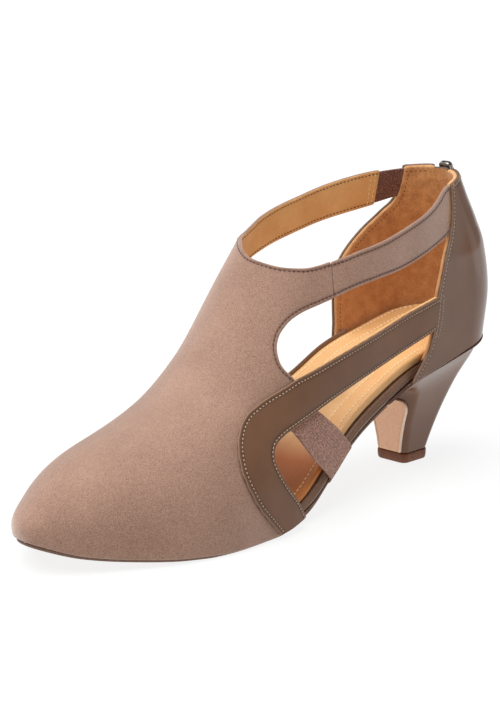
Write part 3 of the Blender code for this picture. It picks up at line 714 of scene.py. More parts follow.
# Lines of the upper as (x, z) seen from the side. They follow the solids, except that the throat, the straps
# and the edges of the openings were refined afterwards.
lines = dict(
    toplineOuter=((125, 98.5), (115, 100.6), (107.4, 102.4), (100.8, 104.0), (86.5, 106.7),
                  (69.7, 110.9), (52.3, 115.5), (45.5, 118.3), (38.9, 121.8), (24, 125.6), (-10, 130)),
    toplineInner=((129, 106.6), (118, 108.9), (114, 109.95), (110, 111.1), (105, 112.7), (77, 118.6),
                  (45, 125.2), (27, 127.2), (-10, 130)),
    windowOuter=((36, 104.2), (39, 103.1), (45.2, 100.9), (53.9, 98.6), (62.7, 96.5), (76.9, 93.4),
                 (90.2, 91.8), (102.1, 90.1), (109, 88.6), (115.4, 86.8), (122, 85.2)),
    bandTop=((140, 59), (127, 62), (109.6, 66.2), (90.7, 70.5), (70.7, 75.2), (52, 78.4)),
    bandFront=((155, -4), (157.5, 1.7), (163, 7.7), (169, 14.7), (173, 22.7), (174.4, 29.7),
               (173, 36.7), (169.5, 42.7), (164.5, 47.7), (157, 52), (149, 55.4), (140, 59)),
    bandLow=((135.5, -4), (140.9, 4.8), (147.3, 13.9), (152.3, 19.9), (156.2, 26.2), (157.8, 31.7),
             (156.4, 35.7), (151.7, 38.8), (146, 40.9), (129, 45.9), (109.5, 50.8), (89, 55.5),
             (75.8, 58.8), (54.2, 64)),
    counterOuter=((33.8, 127), (36.5, 113), (40.8, 102.2), (45.9, 93.7), (49.4, 85.7), (52, 78.4),
                  (53, 69.2), (56, 57), (60.6, 50.6), (66.5, 43.2), (69, 38)),
    strapLowInner=((22, 113.6), (32.5, 111.4), (52, 108), (75.5, 103.6), (101.6, 97.8), (113, 94),
                   (124, 86.5), (133, 76)),
    vampInner=((113, 94), (124, 86.5), (133, 76), (138.5, 62), (139.5, 45), (137, 25), (131, -5)),
    counterInner=((62, 32), (56.5, 47), (54.6, 58), (54.2, 72), (53, 83), (47.5, 91.5), (39.7, 99.3),
                  (30, 107), (24.3, 112.5), (24.3, 132)),
    vampUnderBand=((147, -5), (152, 4), (158, 12), (162.5, 19), (164, 24.5), (163.5, 29.5), (160.5, 35),
                   (154.5, 40.2), (148, 46.4), (143.5, 51.5), (141, 54.5), (140.2, 57), (140.5, 58.8),
                   (141.9, 60.6), (143.7, 62.7), (144.7, 65.2), (144.7, 68.4), (143.9, 71.8),
                   (142.0, 75.2), (139.6, 77.8), (136.1, 80.5), (130.5, 83.0), (122, 85.2),
                   (115.4, 86.8), (109, 88.6)),
    # (x, hundredths of rise) over the instep, from the outer strap to the inner one
    throat=((112.5, 48.0), (115.0, 50.2), (119.1, 54.0), (123.2, 58.3), (126.7, 62.8), (130.0, 68.1),
            (132.6, 73.4), (134.7, 79.8), (136.1, 87.0), (136.6, 93.9), (136.3, 99.2), (135.2, 105.2),
            (133.5, 110.6), (131.0, 116.9), (127.9, 123.7), (124.4, 130.1), (121.0, 135.4),
            (118.0, 139.3)),
)


def aboveFeather(points):
    # the part of a curve that lies above the upper's lower edge
    curve = curveThrough(points)
    return curve[curve[:, 1] > lastValue("feather", curve[:, 0]) + 0.05]


# Vamp: suede over the forefoot, with the stubs of both ankle straps. bridges are the (along, rise) points
# that the stubs' front ends lean to, hemFrom the rise from which the rear edge shows, the last row counts.
vamp = dict(inner=-1.6, outer=0.0, seam=(114.0, 115.5), strapEnd=35.2, throatFrom=114.0, throatTo=118.0,
            turnInner=129.5, holeTop=70.0, bridges=((0.562, 0.80), (0.556, 1.22)), hemFrom=0.36,
            side=73, along=112, stub=36, strap=110, ridge=22)


def bowed(start, middle, end, count):
    # quadratic curve from start to end that leans towards the middle point
    share = np.linspace(0, 1, count)[:, None]
    return start * (1 - share) ** 2 + 2 * np.asarray(middle) * share * (1 - share) + end * share ** 2


def vampSides():
    # the outline in five lines: hole and outer strap's lower edge, seam, topline, inner strap's end,
    # inner strap's lower edge and inner side
    hole = aboveFeather(lines["vampUnderBand"])
    hole = fromSide(hole[(hole[:, 0] > vamp["seam"][1]) | (hole[:, 1] < vamp["holeTop"])], 1)
    hole[0, 1] = 0.0
    throat = curveThrough(lines["throat"])
    throat = throat[(throat[:, 0] > vamp["throatFrom"]) | (throat[:, 1] > 100.0)]
    throat = np.column_stack([xToAlong(throat[:, 0]), 0.01 * throat[:, 1]])
    strap = fromSide(lineByX(lines["toplineInner"], vamp["throatTo"] - 1.0, vamp["strapEnd"]), -1)
    top = np.concatenate([throat, overRidge(strap)])
    low = fromSide(lineByX(lines["strapLowInner"], vamp["strapEnd"], vamp["turnInner"]), -1)
    side = aboveFeather(lines["vampInner"])
    side = fromSide(side[side[:, 1] < heightOf(lines["strapLowInner"], vamp["turnInner"]) - 0.4], -1)
    side[-1, 1] = 0.0
    inside = overRidge(np.concatenate([low, side]))
    return hole, np.linspace(hole[-1], top[0], 40), top, np.linspace(top[-1], inside[0], 40), inside


def makeVamp():
    # body: border * (1 - share) + toe * share, with the rise eased by 1 - (1 - share)^3; each stub is a patch
    sides = vampSides()
    feet = sides[0][0].copy(), sides[-1][-1].copy()
    roll = 0.5 * (vamp["outer"] - vamp["inner"])
    hole, seam, top, strapEnd, inside = movedIn(sides, roll, closed=False)
    hole[0], inside[-1] = feet
    turn = np.argmax(hole[:, 1])
    throat = np.argmin(np.abs(top[:, 1] - 1.0))
    turnInner = np.argmin(inside[:, 1])
    runs = ((hole[:turn + 1], vamp["side"]), (hole[turn:], vamp["stub"]), (seam, vamp["ridge"]),
            (top[:throat + 1], vamp["stub"]), (top[throat:], vamp["strap"]), (strapEnd, vamp["ridge"]),
            (inside[:turnInner + 1], vamp["strap"]), (inside[turnInner:], vamp["side"]))
    runs = [resample(run, np.linspace(0, 1, count + 1)) for run, count in runs]
    rear, low, seam, top, innerTop, strapEnd, innerLow, innerRear = runs
    bridge = bowed(low[0], vamp["bridges"][0], top[-1], vamp["ridge"] + 1)
    innerBridge = bowed(top[-1], vamp["bridges"][1], innerLow[-1], vamp["ridge"] + 1)
    border = np.concatenate([rear, bridge[1:], innerBridge[1:], innerRear[1:]])
    share = np.linspace(0, 1, vamp["along"])[:, None]
    toe = np.linspace(0.0, 2.0, len(border))
    fan = 1.0 - (1.0 - share) ** 3
    body = np.stack([border[:, 0] * (1 - share) + share, border[:, 1] * (1 - fan) + toe * fan], axis=-1)
    stubOuter = coons(seam, top, bridge[::-1], low)
    stubInner = coons(innerBridge[::-1], innerTop, strapEnd, innerLow)
    exposed = np.concatenate([rear] + [run[1:] for run in runs[1:]])
    loop = np.concatenate([exposed, body[1:, -1], body[-2:0:-1, 0]])
    edges = (rear[rear[:, 1] > vamp["hemFrom"]], low, np.concatenate([top, innerTop]), innerLow, innerRear)
    surfaces = sheetSurfaces([body, stubOuter, stubInner], loop, vamp["inner"], vamp["outer"], edges, roll)
    addPiece("vamp", surfaces, (suede, lining), replaces=("upper",), weld=2e-6)
    return edges


vampEdges = makeVamp()
print("vamp made")


# Outer ankle strap, which tucks under the counter's edge
outerStrap = dict(inner=-1.6, outer=0.0, seamGap=-0.3, topEnd=33.4, lowEnd=40.6, tuck=1.4, counts=(90, 22),
                  inset=0.8)


def makeOuterStrap():
    # between the topline and the window's edge, from the vamp's seam to under the counter
    seamTop, seamLow = np.array(vamp["seam"]) - outerStrap["seamGap"]
    top = fromSide(lineByX(lines["toplineOuter"], outerStrap["topEnd"], seamTop), 1)
    low = fromSide(lineByX(lines["windowOuter"], seamLow, outerStrap["lowEnd"] - outerStrap["tuck"]), 1)
    addSheet("outerStrap", closedBy(top, low), outerStrap, (suede, lining), (top, low))
    return top, low


# Short elastic that holds the inner strap
strapElastic = dict(inner=-1.3, outer=-0.4, margin=0.8, front=37.5, topEnd=21.0, lowEnd=22.5, counts=(26, 20),
                    inset=0.4)


def makeStrapElastic():
    # between the inner strap's two edges, less a margin
    front, margin = strapElastic["front"], np.array((0.0, strapElastic["margin"]))
    top = fromSide(lineByX(lines["toplineInner"], front, strapElastic["topEnd"]) - margin, -1)
    low = fromSide(lineByX(lines["strapLowInner"], strapElastic["lowEnd"], front) + margin, -1)
    addSheet("strapElastic", closedBy(top, low), strapElastic, (darkElastic, darkElastic),
             replaces=("strap_elastic",))


outerStrapEdges = makeOuterStrap()
makeStrapElastic()
print("straps made")


# Counter: leather cover and napped lining, each in two halves that meet at the back seam under the zip.
# The zip's slot widens above its foot, by the power given as opens.
counter = dict(slot=4.2, slotFoot=71.0, slotRound=6.0, seam=0.15, backTop=15.6, topOuter=34.7, topInner=24.3,
               cover=dict(inner=0.25, outer=1.35, inset=0.55, counts=(54, 72)), coverOpens=0.5,
               lining=dict(inner=-1.8, outer=0.15, inset=0.9, counts=(54, 72)), liningOpens=1.0,
               liningOver=0.6, liningBack=(1.0, 0.25), liningFoot=6.0)


def riseAt(along, height):
    # rise at a height over the feather, from height = crown * sin(rise * pi / 2)
    return np.arcsin(height / crownHeight(alongToX(np.abs(along)))) * 2 / np.pi


def backRise(zFrom, zTo, count, riseTo):
    # rise of points up the middle of the back, at even heights
    rise = np.linspace(0.0, riseTo, 400)
    z = formPoint(np.zeros_like(rise), rise)[:, 2]
    return np.interp(np.linspace(zFrom, zTo, count), z, rise)


def backLine(side, slot, zTop, foot, power):
    # up the middle of the back, and out to the edge of the zip's slot above its foot
    rise = backRise(lastValue("feather", 0.0) + foot, zTop, 160, 0.62)
    z = formPoint(np.zeros_like(rise), rise)[:, 2]
    reach = 0.01
    width = formPoint(np.full_like(rise, reach), rise)[:, 1]
    opened = shareOf(z, counter["slotFoot"] - 1.0, counter["slotFoot"] + counter["slotRound"])
    opened = (1.0 - (1.0 - opened) ** 2) ** power
    distance = counter["seam"] + (slot - counter["seam"]) * opened
    return np.column_stack([side * reach * distance / width, rise])


def counterHalf(side, slot, back, foot, power):
    # the four lines round one half, the top second; back moves its front edge back, foot its lower edge up
    topline = lines["toplineOuter"] if side > 0 else lines["toplineInner"]
    front = lines["counterOuter"] if side > 0 else lines["counterInner"]
    corner = counter["topOuter"] if side > 0 else counter["topInner"]
    backEdge = backLine(side, slot, heightOf(topline, counter["backTop"]), foot, power)
    top = fromSide(lineByX(topline, counter["backTop"] + 1.0, corner - back), side)
    top = np.concatenate([backEdge[-1:], top])
    frontLine = aboveFeather(front)
    frontLine = frontLine[frontLine[:, 1] < heightOf(topline, corner) - 0.3]
    frontLine = frontLine[frontLine[:, 1] > lastValue("feather", frontLine[:, 0]) + foot]
    frontLine = frontLine[np.argsort(-frontLine[:, 1])] - np.array((back, 0.0))
    frontEdge = np.concatenate([top[-1:], fromSide(frontLine, side)])
    bottom = np.linspace(frontEdge[-1, 0], backEdge[0, 0], 80)
    bottom = np.column_stack([bottom, riseAt(bottom, foot)])
    frontEdge[-1], backEdge[0] = bottom[0], bottom[-1]
    if side > 0:
        return backEdge, top, frontEdge, bottom
    return frontEdge[::-1], top[::-1], backEdge[::-1], bottom[::-1]


def makeCounter():
    # returns the top and the front edge of both halves of the cover
    edges = []
    for label, side, back in zip(("Outer", "Inner"), (1, -1), counter["liningBack"]):
        sides = counterHalf(side, counter["slot"], 0.0, 0.0, counter["coverOpens"])
        edges.append((sides[1], sides[2] if side > 0 else sides[0]))
        replaced = ("counter_cover",) if side > 0 else ()
        addSheet("counter" + label, sides, counter["cover"], (leather, leather), edges[-1],
                 replaced)
        slot = counter["slot"] - counter["liningOver"]
        sides = counterHalf(side, slot, back, counter["liningFoot"], counter["liningOpens"])
        addSheet("counterLining" + label, sides, counter["lining"], (heelLining, heelLining))
    return edges


counterEdges = makeCounter()
print("counter made")


# Side band: leather strip that laps over the vamp, sweeps round the opening and tucks under the counter,
# where its two lines run on by tuck at the slopes given
band = dict(inner=0.25, outer=1.4, inset=0.57, counts=(190, 30), tuck=1.2, topSlope=0.17, lowSlope=0.24,
            lining=dict(inner=-1.2, outer=0.15, inset=0.7, counts=(150, 18)), liningTop=56.5, liningBack=0.6)


def bandLines(front):
    # the four lines round the band, or round its lining, which ends at another front line
    rearTop = np.array(lines["bandTop"][-1]) + band["tuck"] * np.array((-1.0, band["topSlope"]))
    rearLow = np.array(lines["bandLow"][-1]) + band["tuck"] * np.array((-1.0, band["lowSlope"]))
    outer = np.concatenate([[rearTop], curveThrough(lines["bandTop"])[::-1], front[::-1][1:]])
    inner = np.concatenate([aboveFeather(lines["bandLow"]), [rearLow]])
    top, low = fromSide(outer, 1), fromSide(inner, 1)
    top[-1, 1] = low[0, 1] = 0.0
    return closedBy(top, low)


def makeBand():
    # returns its upper and lower edge
    sides = bandLines(aboveFeather(lines["bandFront"]))
    edges = sides[1], sides[3]
    addSheet("sideBand", sides, band, (bandLeather, leather), edges, ("side_band",))
    under = aboveFeather(lines["vampUnderBand"])
    under = under[under[:, 1] < band["liningTop"]] - np.array((band["liningBack"], 0.0))
    addSheet("bandLining", bandLines(under), band["lining"], (lining, lining))
    return edges


bandEdges = makeBand()
print("band made")


# Arch elastic: from behind the band's lower edge down over the edge of the sole. Its top dives behind
# the band over the shares of its height given, and its foot turns under the sole by skirt and fold.
arch = dict(inner=-0.9, outer=0.0, dive=1.9, diveShares=(0.80, 0.94), skirt=1.9, fold=2.2, counts=(36, 40),
            front=((150.5, 45.2), (146.2, 40.4), (133.5, 26), (120.7, 15.1), (117.5, 10)),
            rear=((134.0, 49.4), (130.5, 45.2), (116.3, 34.3), (105.3, 24.8), (100, 18)))


def makeArchElastic():
    # rear * (1 - across) + front * across; the foot is a quarter round of radius skirt and then flat
    shares = np.linspace(0, 1, arch["counts"][1])
    rear, front = (fromSide(aboveFeather(arch[name])[::-1], 1) for name in ("rear", "front"))
    rear[0, 1] = front[0, 1] = 0.0
    rear, front = resample(rear, shares), resample(front, shares)
    across = np.linspace(0, 1, arch["counts"][0])[:, None, None]
    patch = rear[None] * (1 - across) + front[None] * across
    dive = -arch["dive"] * shareOf(shares, *arch["diveShares"])[None, :] * np.ones((len(across), 1))
    upward = np.array((0.0, 0.0, 1.0))
    inward = -formFrame(patch[:, :1])[1] * np.array((1.0, 1.0, 0.0))
    turn = np.linspace(0, 0.5 * np.pi, 7)[None, 1:, None]
    innerReach = arch["skirt"] - (arch["outer"] - arch["inner"]) * 0.9
    made = []
    for offset, reach in ((arch["outer"], arch["skirt"]), (arch["inner"], innerReach)):
        points = skin(patch, dive + offset)
        fold = points[:, :1] - upward * reach * np.sin(turn) + inward * reach * (1 - np.cos(turn))
        under = fold[:, -1:] + inward * arch["fold"] * np.linspace(0.3, 1, 3)[None, :, None]
        made.append(np.concatenate([under[:, ::-1], fold[:, ::-1], points], axis=1))
    ring = np.concatenate([made[0], made[1][:, ::-1]], axis=1)
    ends = [np.stack([made[0][place], made[1][place]], axis=0) for place in (0, -1)]
    surfaces = [surface(ring, wrapColumns=True)] + [surface(end) for end in ends]
    addPiece("archElastic", surfaces, (elastic,), replaces=("arch_elastic",), sharp=50)


makeArchElastic()
print("arch elastic made")


# Sole: footbed, wrapped rim and thin outsole, each a profile carried round the plan of the last.
# A profile's rows are (extra inset, share of the height).
sole = dict(columns=("x", "rim", "rimInset", "insole"),
            rows=np.array(((0, 4.2, 2.1, 4.0), (55, 4.2, 2.1, 4.0), (76, 4.2, 1.2, 4.0), (125, 4.2, 1.2, 4.0),
                           (142, 3.2, 2.1, 3.2), (165, 2.0, 2.1, 2.4), (249.5, 2.0, 2.1, 2.4))),
            gap=0.3, insoleInset=3.1, cup=1.0, cupFrom=4.0, cupTo=22.0,
            outsoleThick=1.3, outsoleInset=1.3, outsoleFrom=79.6, floorReach=0.4,
            weltFrom=50.0, weltTo=146.0, weltInset=2.6, weltHalf=0.7, weltHigh=1.9, weltAbove=-0.4,
            insoleProfile=((0.9, 0.0), (0.25, 0.2), (0.0, 0.5), (0.1, 0.75), (0.45, 0.93), (1.1, 1.0),
                           (2.4, 1.0)),
            rimProfile=((1.6, 0.0), (0.5, 0.02), (0.12, 0.1), (0.0, 0.25), (0.1, 0.42), (0.42, 0.5),
                        (0.2, 0.53), (0.12, 0.57), (0.3, 0.63), (0.55, 0.7), (0.62, 0.85), (0.8, 0.96),
                        (1.4, 1.0)),
            outsoleProfile=((1.0, 0.0), (0.35, 0.06), (0.05, 0.25), (0.0, 0.5), (0.05, 0.75), (0.3, 0.95),
                            (0.8, 1.0)))


def soleValue(name, x):
    return tableValue(sole["columns"], sole["rows"], name, x)


def rimBottom(x):
    return lastValue("feather", x)


def rimTop(x):
    return lastValue("feather", x) + soleValue("rim", x)


def insoleBottom(x):
    return rimTop(x) + sole["gap"]


def insoleTop(x):
    return insoleBottom(x) + soleValue("insole", x)


def outsoleTop(x):
    return lastValue("feather", x) - sole["gap"]


def outsoleBottom(x):
    height = outsoleTop(x) - sole["outsoleThick"]
    return np.where(height < sole["floorReach"], 0.0, height - sole["floorReach"])


def cupDepth(cup, edge):
    # smooth step inwards from the edge: share^2 * (3 - 2 * share)
    share = shareOf(edge, sole["cupFrom"], sole["cupTo"])
    return cup * share ** 2 * (3 - 2 * share)


def planEdge(along, inset):
    # the feather line seen from above, moved in by inset along its own normal
    line = np.stack([along, np.zeros_like(along)], axis=-1)
    point, normal, alongSlope, riseSlope = formFrame(line)
    outward = np.stack([-alongSlope[:, 1], alongSlope[:, 0]], axis=-1)
    outward[np.abs(along) > 0.999] = (1.0, 0.0)
    outward[np.abs(along) < 0.001] = (-1.0, 0.0)
    return point[:, None, :2] - inset[..., None] * unit(outward)[:, None]


def soleBlock(alongFrom, stations, profile, inset, low, high, cup, across):
    # rings of the block and their distance from its edge; the top dips by cup in the middle
    along = np.linspace(alongFrom, 1.0, stations)
    x = alongToX(along)
    profile = np.asarray(profile, float)
    rings = []
    for side in (1, -1):
        plan = planEdge(along * side, inset(x)[:, None] + profile[None, :, 0])
        z = low(plan[..., 0]) * (1 - profile[:, 1]) + high(plan[..., 0]) * profile[:, 1]
        rings.append(np.concatenate([plan, z[..., None]], axis=-1))
    outer, inner = rings
    share = np.linspace(0, 1, across + 2)[None, 1:-1, None]
    top = outer[:, -1:] * (1 - share) + inner[:, -1:] * share
    width = np.linalg.norm(outer[:, -1] - inner[:, -1], axis=-1)[:, None]
    edge = np.minimum(share[..., 0], 1 - share[..., 0]) * width + profile[-1, 0]
    top[..., 2] -= cupDepth(cup, edge)
    bottom = inner[:, :1] * (1 - share) + outer[:, :1] * share
    rim = np.broadcast_to(profile[:, 0], outer.shape[:2])
    edge = np.concatenate([rim, edge, rim[:, ::-1], np.full(bottom.shape[:2], farAway)], axis=1)
    return np.concatenate([outer, top, inner[:, ::-1], bottom], axis=1), edge


def makeSole():
    # three blocks, each its own profile between its own two heights
    ring, edge = soleBlock(0.0, 150, sole["insoleProfile"], lambda x: np.full(x.shape, sole["insoleInset"]),
                           insoleBottom, insoleTop, sole["cup"], 60)
    bed = [surface(ring, wrapColumns=True, edge=edge)]
    addPiece("insole", bed, (footbed,), replaces=("insole",))
    ring = soleBlock(0.0, 150, sole["rimProfile"], lambda x: soleValue("rimInset", x), rimBottom, rimTop,
                     0.0, 8)[0]
    rim = [surface(ring, wrapColumns=True)]
    addPiece("waistRim", rim, (rimLeather,), replaces=("waist_rim",))
    ring = soleBlock(xToAlong(sole["outsoleFrom"]), 120, sole["outsoleProfile"],
                     lambda x: np.full(x.shape, sole["outsoleInset"]), outsoleBottom, outsoleTop, 0.0, 14)[0]
    rear = ring[0].reshape(2, -1, 3)
    sheet = [surface(ring, wrapColumns=True), surface(np.stack([rear[0], rear[1][::-1]], axis=0))]
    addPiece("outsole", sheet, (outsole,), replaces=("outsole",), sharp=60)


def makeWelt():
    # leather welt along the footbed's inner edge: middle + cos * half width outward + sin * half height up
    along = -np.linspace(xToAlong(sole["weltFrom"]), xToAlong(sole["weltTo"]), 110)
    turn = circle(14)
    plan = planEdge(along, sole["weltInset"] + sole["weltHalf"] * np.broadcast_to(np.cos(turn), (110, 14)))
    top = insoleTop(plan.mean(axis=1)[:, 0])[:, None]
    height = top + sole["weltAbove"] + sole["weltHigh"] * np.sin(turn)
    tube = np.concatenate([plan, height[..., None]], axis=-1)
    addPiece("footbedWelt", capped(tube), (rimLeather,))


makeSole()
makeWelt()
print("sole made")


# Heel: leather wrap, tan breast panel in its lip, and the lift, whose rings are (height, reach past the heel)
heel = dict(columns=("level", "back", "front", "halfWidth"),
            rows=np.array(((0.00, 0.8, 80.0, 26.6), (0.06, 3.6, 79.0, 24.5), (0.10, 5.2, 66.6, 23.1),
                           (0.16, 7.2, 56.8, 21.0), (0.24, 9.8, 52.0, 18.6), (0.33, 12.6, 49.6, 16.4),
                           (0.50, 16.8, 48.2, 13.3), (0.68, 21.0, 47.4, 10.8), (0.86, 25.2, 46.8, 9.1),
                           (1.00, 28.4, 46.4, 8.2))),
            seatFront=80.0, gap=0.3, lift=4.5, corner=2.6, topRound=0.03, topInset=1.5,
            liftRings=((0.0, -0.5), (0.25, -0.1), (0.7, 0.1), (2.3, 0.3), (4.0, 0.3), (4.35, 0.2),
                       (4.5, 0.0)),
            seamLevel=0.004, seamOut=0.1, seamRadius=0.6,
            panelTop=29.0, panelMargin=2.4, panelRound=5.0, panelThick=0.8,
            lipOut=0.25, lipHalf=0.4, lipHigh=1.05)


def heelValue(name, level):
    return tableValue(heel["columns"], heel["rows"], name, level)


def heelPlan(level, proud, sidePoints=46, frontPoints=12):
    # back to front along the outer side, a small round corner, and across the flat front
    back, front, half = (heelValue(name, level)[:, None] + change
                         for name, change in (("back", -proud), ("front", proud), ("halfWidth", proud)))
    corner = heel["corner"]
    ease = (1 - np.cos(np.pi * np.linspace(0, 1, sidePoints) ** 0.8 * 0.5))[None]
    x = back + ease * (front - corner - back)
    width = planRounding(ease * heel["seatFront"]) * half
    turn = np.linspace(0, 0.5 * np.pi, 7)[None, 1:]
    x = np.concatenate([x, front - corner + corner * np.sin(turn)], axis=1)
    y = np.concatenate([width, half - corner + corner * np.cos(turn)], axis=1)
    across = np.linspace(1, -1, frontPoints)[None, 1:-1]
    flat = np.broadcast_to(front, (len(level), frontPoints - 2))
    x = np.concatenate([x, flat, x[:, :0:-1]], axis=1)
    y = np.concatenate([y, across * y[:, -1:], -y[:, :0:-1]], axis=1)
    return x, y


def heelHeights(level, x):
    # from the feather less the gap (level 0) to the lift and the gap (level 1)
    top = lastValue("feather", np.clip(x, 0.0, None)) - heel["gap"]
    return (1 - level[:, None]) * top + level[:, None] * (heel["lift"] + heel["gap"])


def makeHeel():
    # wrap: the plan at each level, drawn in by a quarter round at the top; lift: the lowest plan at each ring
    level = np.concatenate([np.linspace(0, 0.3, 60), np.linspace(0.3, 1, 60)[1:]])
    top = 1.0 - shareOf(level, 0.0, heel["topRound"])
    x, y = heelPlan(level, -heel["topInset"] * (1 - np.sqrt(1 - top ** 2))[:, None])
    body = np.stack([x, y, heelHeights(level, x)], axis=-1)
    addPiece("heel", capped(body), (leather,), replaces=("heel",), sharp=40)
    rings = []
    for z, proud in heel["liftRings"]:
        x, y = heelPlan(np.ones(1), proud)
        rings.append(np.stack([x[0], y[0], np.full(x.shape[1], z)], axis=-1))
    addPiece("topLift", capped(np.stack(rings)), (lift,), replaces=("top_lift",), sharp=40)


def makeHeelSeamShade():
    # dark ring in the seam between the counter and the heel, painted shade of the gap there: a thin ring,
    # middle + radius * (cos * outward + sin * up)
    level = np.array([heel["seamLevel"]])
    x, y = heelPlan(level, heel["seamOut"])
    path = np.stack([x[0], y[0], heelHeights(level, x)[0]], axis=-1)
    tangent = unit(np.roll(path, -1, axis=0) - np.roll(path, 1, axis=0))
    outward = unit(np.cross(tangent, np.array((0.0, 0.0, 1.0))))
    upward = np.cross(outward, tangent)
    turn = circle(10)[None, :, None]
    around = outward[:, None] * np.cos(turn) + upward[:, None] * np.sin(turn)
    tube = path[:, None] + heel["seamRadius"] * around
    addPiece("heelSeamShade", [surface(tube, wrapRows=True, wrapColumns=True)], (darkThread,))


def breastLine(height):
    # front and half width of the heel at a height
    levels = np.linspace(0.2, 1.0, 120)
    front = heelValue("front", levels)
    heights = heelHeights(levels, front[:, None])[:, 0]
    return (np.interp(height, heights[::-1], front[::-1]),
            np.interp(height, heights[::-1], heelValue("halfWidth", levels)[::-1]))


def makeBreast():
    # panel: heights up the front, across to a half width that closes in a round arch at the top
    foot, head, arched = heel["lift"] + 2 * heel["gap"], heel["panelTop"], heel["panelRound"]
    turn = np.linspace(0, 0.5 * np.pi, 14)[1:]
    heights = np.concatenate([np.linspace(foot, head - arched, 24), head - arched * (1 - np.sin(turn))])
    front, half = breastLine(heights)
    over = shareOf(heights, head - arched, head)
    half = half - heel["panelMargin"] - 0.9 * arched * (1 - np.sqrt(1 - over ** 2))
    across = np.sin(np.linspace(-0.5, 0.5, 25) * np.pi)
    swell = heel["panelThick"] * (1 - across ** 12)
    back = np.stack(np.broadcast_arrays(front[:, None], half[:, None] * across, heights[:, None]), axis=-1)
    face = back.copy()
    face[..., 0] += heel["gap"]
    face[..., 0] += swell
    rim = [np.stack([face[:, place], back[:, place]], axis=1) for place in (0, -1)]
    rim += [np.stack([face[place], back[place]], axis=1) for place in (0, -1)]
    surfaces = [surface(item) for item in [face, back] + rim]
    addPiece("heelBreast", surfaces, (breast,), replaces=("heel_breast",), sharp=50)
    # lip round the panel, cream as a painted highlight of its rounded edge: middle + cos * half width outward
    # + sin * half height forward
    forward = np.array((1.0, 0.0, 0.0))
    path = np.concatenate([back[:, 0], back[-1, 1:-1], back[::-1, -1]]) + heel["lipOut"] * forward
    out = unit(np.cross(unit(np.gradient(path, axis=0)), forward))
    turn = circle(12)[None, :, None]
    sideways = out[:, None] * (heel["lipHalf"] * np.cos(turn))
    tube = path[:, None] + sideways + forward * heel["lipHigh"] * np.sin(turn)
    addPiece("breastLip", capped(tube), (breastEdgeHighlight,))


makeHeel()
makeHeelSeamShade()
makeBreast()
print("heel made")


# Stitches: short rounded dashes along lines of the form, in these kinds. stitchRise is how far a row
# lies off its sheet.
stitch = dict(
    suede=dict(pitch=1.85, length=1.35, width=0.42, height=0.2),
    # dense dashes that make one dark line in a seam, as painted shade of its groove
    joinShade=dict(pitch=0.9, length=1.2, width=0.5, height=0.3),
    leather=dict(pitch=1.65, length=1.1, width=0.55, height=0.28),
    box=dict(pitch=1.1, length=0.75, width=0.45, height=0.22),
    footbed=dict(pitch=2.3, length=1.6, width=0.72, height=0.45),
    strap=dict(pitch=2.0, length=1.3, width=0.5, height=0.25),
    lining=dict(pitch=1.9, length=1.0, width=0.45, height=0.2),
)
stitchRise = 0.02


def stitchShape(length, width, height):
    # a flattened ellipsoid: rings along its length, from the pole to the other pole
    ring = np.linspace(0, np.pi, 6)[:, None]
    turn = circle(6)[None]
    return np.stack([-0.5 * length * np.cos(ring) + 0 * turn, 0.5 * width * np.sin(ring) * np.cos(turn),
                     height * np.sin(ring) * np.sin(turn)], axis=-1)


def readAlong(where, run, values):
    return np.stack([np.interp(where, run, values[:, axis]) for axis in range(3)], axis=-1)


def placed(shape, *directions):
    # copies of a shape: each centre + tangent * x + across * y + upward * z
    centre, tangent, across, upward = (item[:, None, None] for item in directions)
    return centre + tangent * shape[..., :1] + across * shape[..., 1:2] + upward * shape[..., 2:]


def stitchRow(point, normal, pitch, length, width, height):
    # stitches at even steps of about the pitch along a line of points
    run = lengths(point)
    count = max(2, int(run[-1] / pitch))
    where = (np.arange(count) + 0.5) * run[-1] / count
    tangent = unit(readAlong(where, run, np.gradient(point, run, axis=0)))
    upward = unit(readAlong(where, run, normal))
    shape = stitchShape(length, width, height)
    return placed(shape, readAlong(where, run, point), tangent, np.cross(upward, tangent), upward)


def addStitches(name, rows, finish, replaces=()):
    # rows are stacks of stitches (count, rings, turns, 3), joined into one mesh
    stitches = [item for row in rows for item in row]
    surfaces = [surface(item, 0, np.zeros((*item.shape[:2], 2)), wrapColumns=True) for item in stitches]
    addPiece(name, surfaces, (finish,), replaces=replaces)


def formStitches(line, distance, offset, kind, inside=False):
    # a row beside a line of the form, at the offset along its normal
    line = nearLine(resample(line, np.linspace(0, 1, 160)), distance)
    point, normal = formFrame(line)[:2]
    return stitchRow(point + normal * offset, -normal if inside else normal, **stitch[kind])


def makeSuedeStitches():
    rows = []
    hems = [(line, 0.7) for line in vampEdges] + [(line, 1.5) for line in outerStrapEdges]
    for line, distance in hems:
        rows.append(formStitches(line, distance, vamp["outer"] + stitchRise, "suede"))
        rows.append(formStitches(line, distance, vamp["inner"] - stitchRise, "suede", inside=True))
    # dark thread sunk in the seam between the vamp and the outer strap, reading as one dark line: painted
    # shade of the seam's groove
    rows.append(formStitches(vampSides()[1][3:-3], 0.0, -0.55, "joinShade"))
    addStitches("suedeStitches", rows, darkThread)


def makeLeatherStitches():
    rows = [formStitches(line, distance, band["outer"] + stitchRise, "leather")
            for line, distance in zip(bandEdges, (1.7, 1.3))]
    onCover = counter["cover"]["outer"] + stitchRise
    for top, front in counterEdges:
        rows.append(formStitches(front, 1.7, onCover, "leather"))
        rows.append(formStitches(top, 1.7, onCover, "leather"))
    # a closed box of finer stitches where the band goes under the counter
    front = counterEdges[0][1]
    height = onForm(front)[:, 2]
    box = front[(height > 62.0) & (height < 79.5)]
    rows.append(formStitches(box, 4.2, onCover, "box"))
    rows.append(formStitches(box, 1.75, counter["cover"]["outer"] + 2 * stitchRise, "box"))
    for end in (0, -1):
        corner = np.stack([nearLine(box, distance)[end] for distance in (1.7, 4.2)])
        rows.append(formStitches(corner, 0.0, onCover, "box"))
    addStitches("leatherStitches", rows, paleThread)


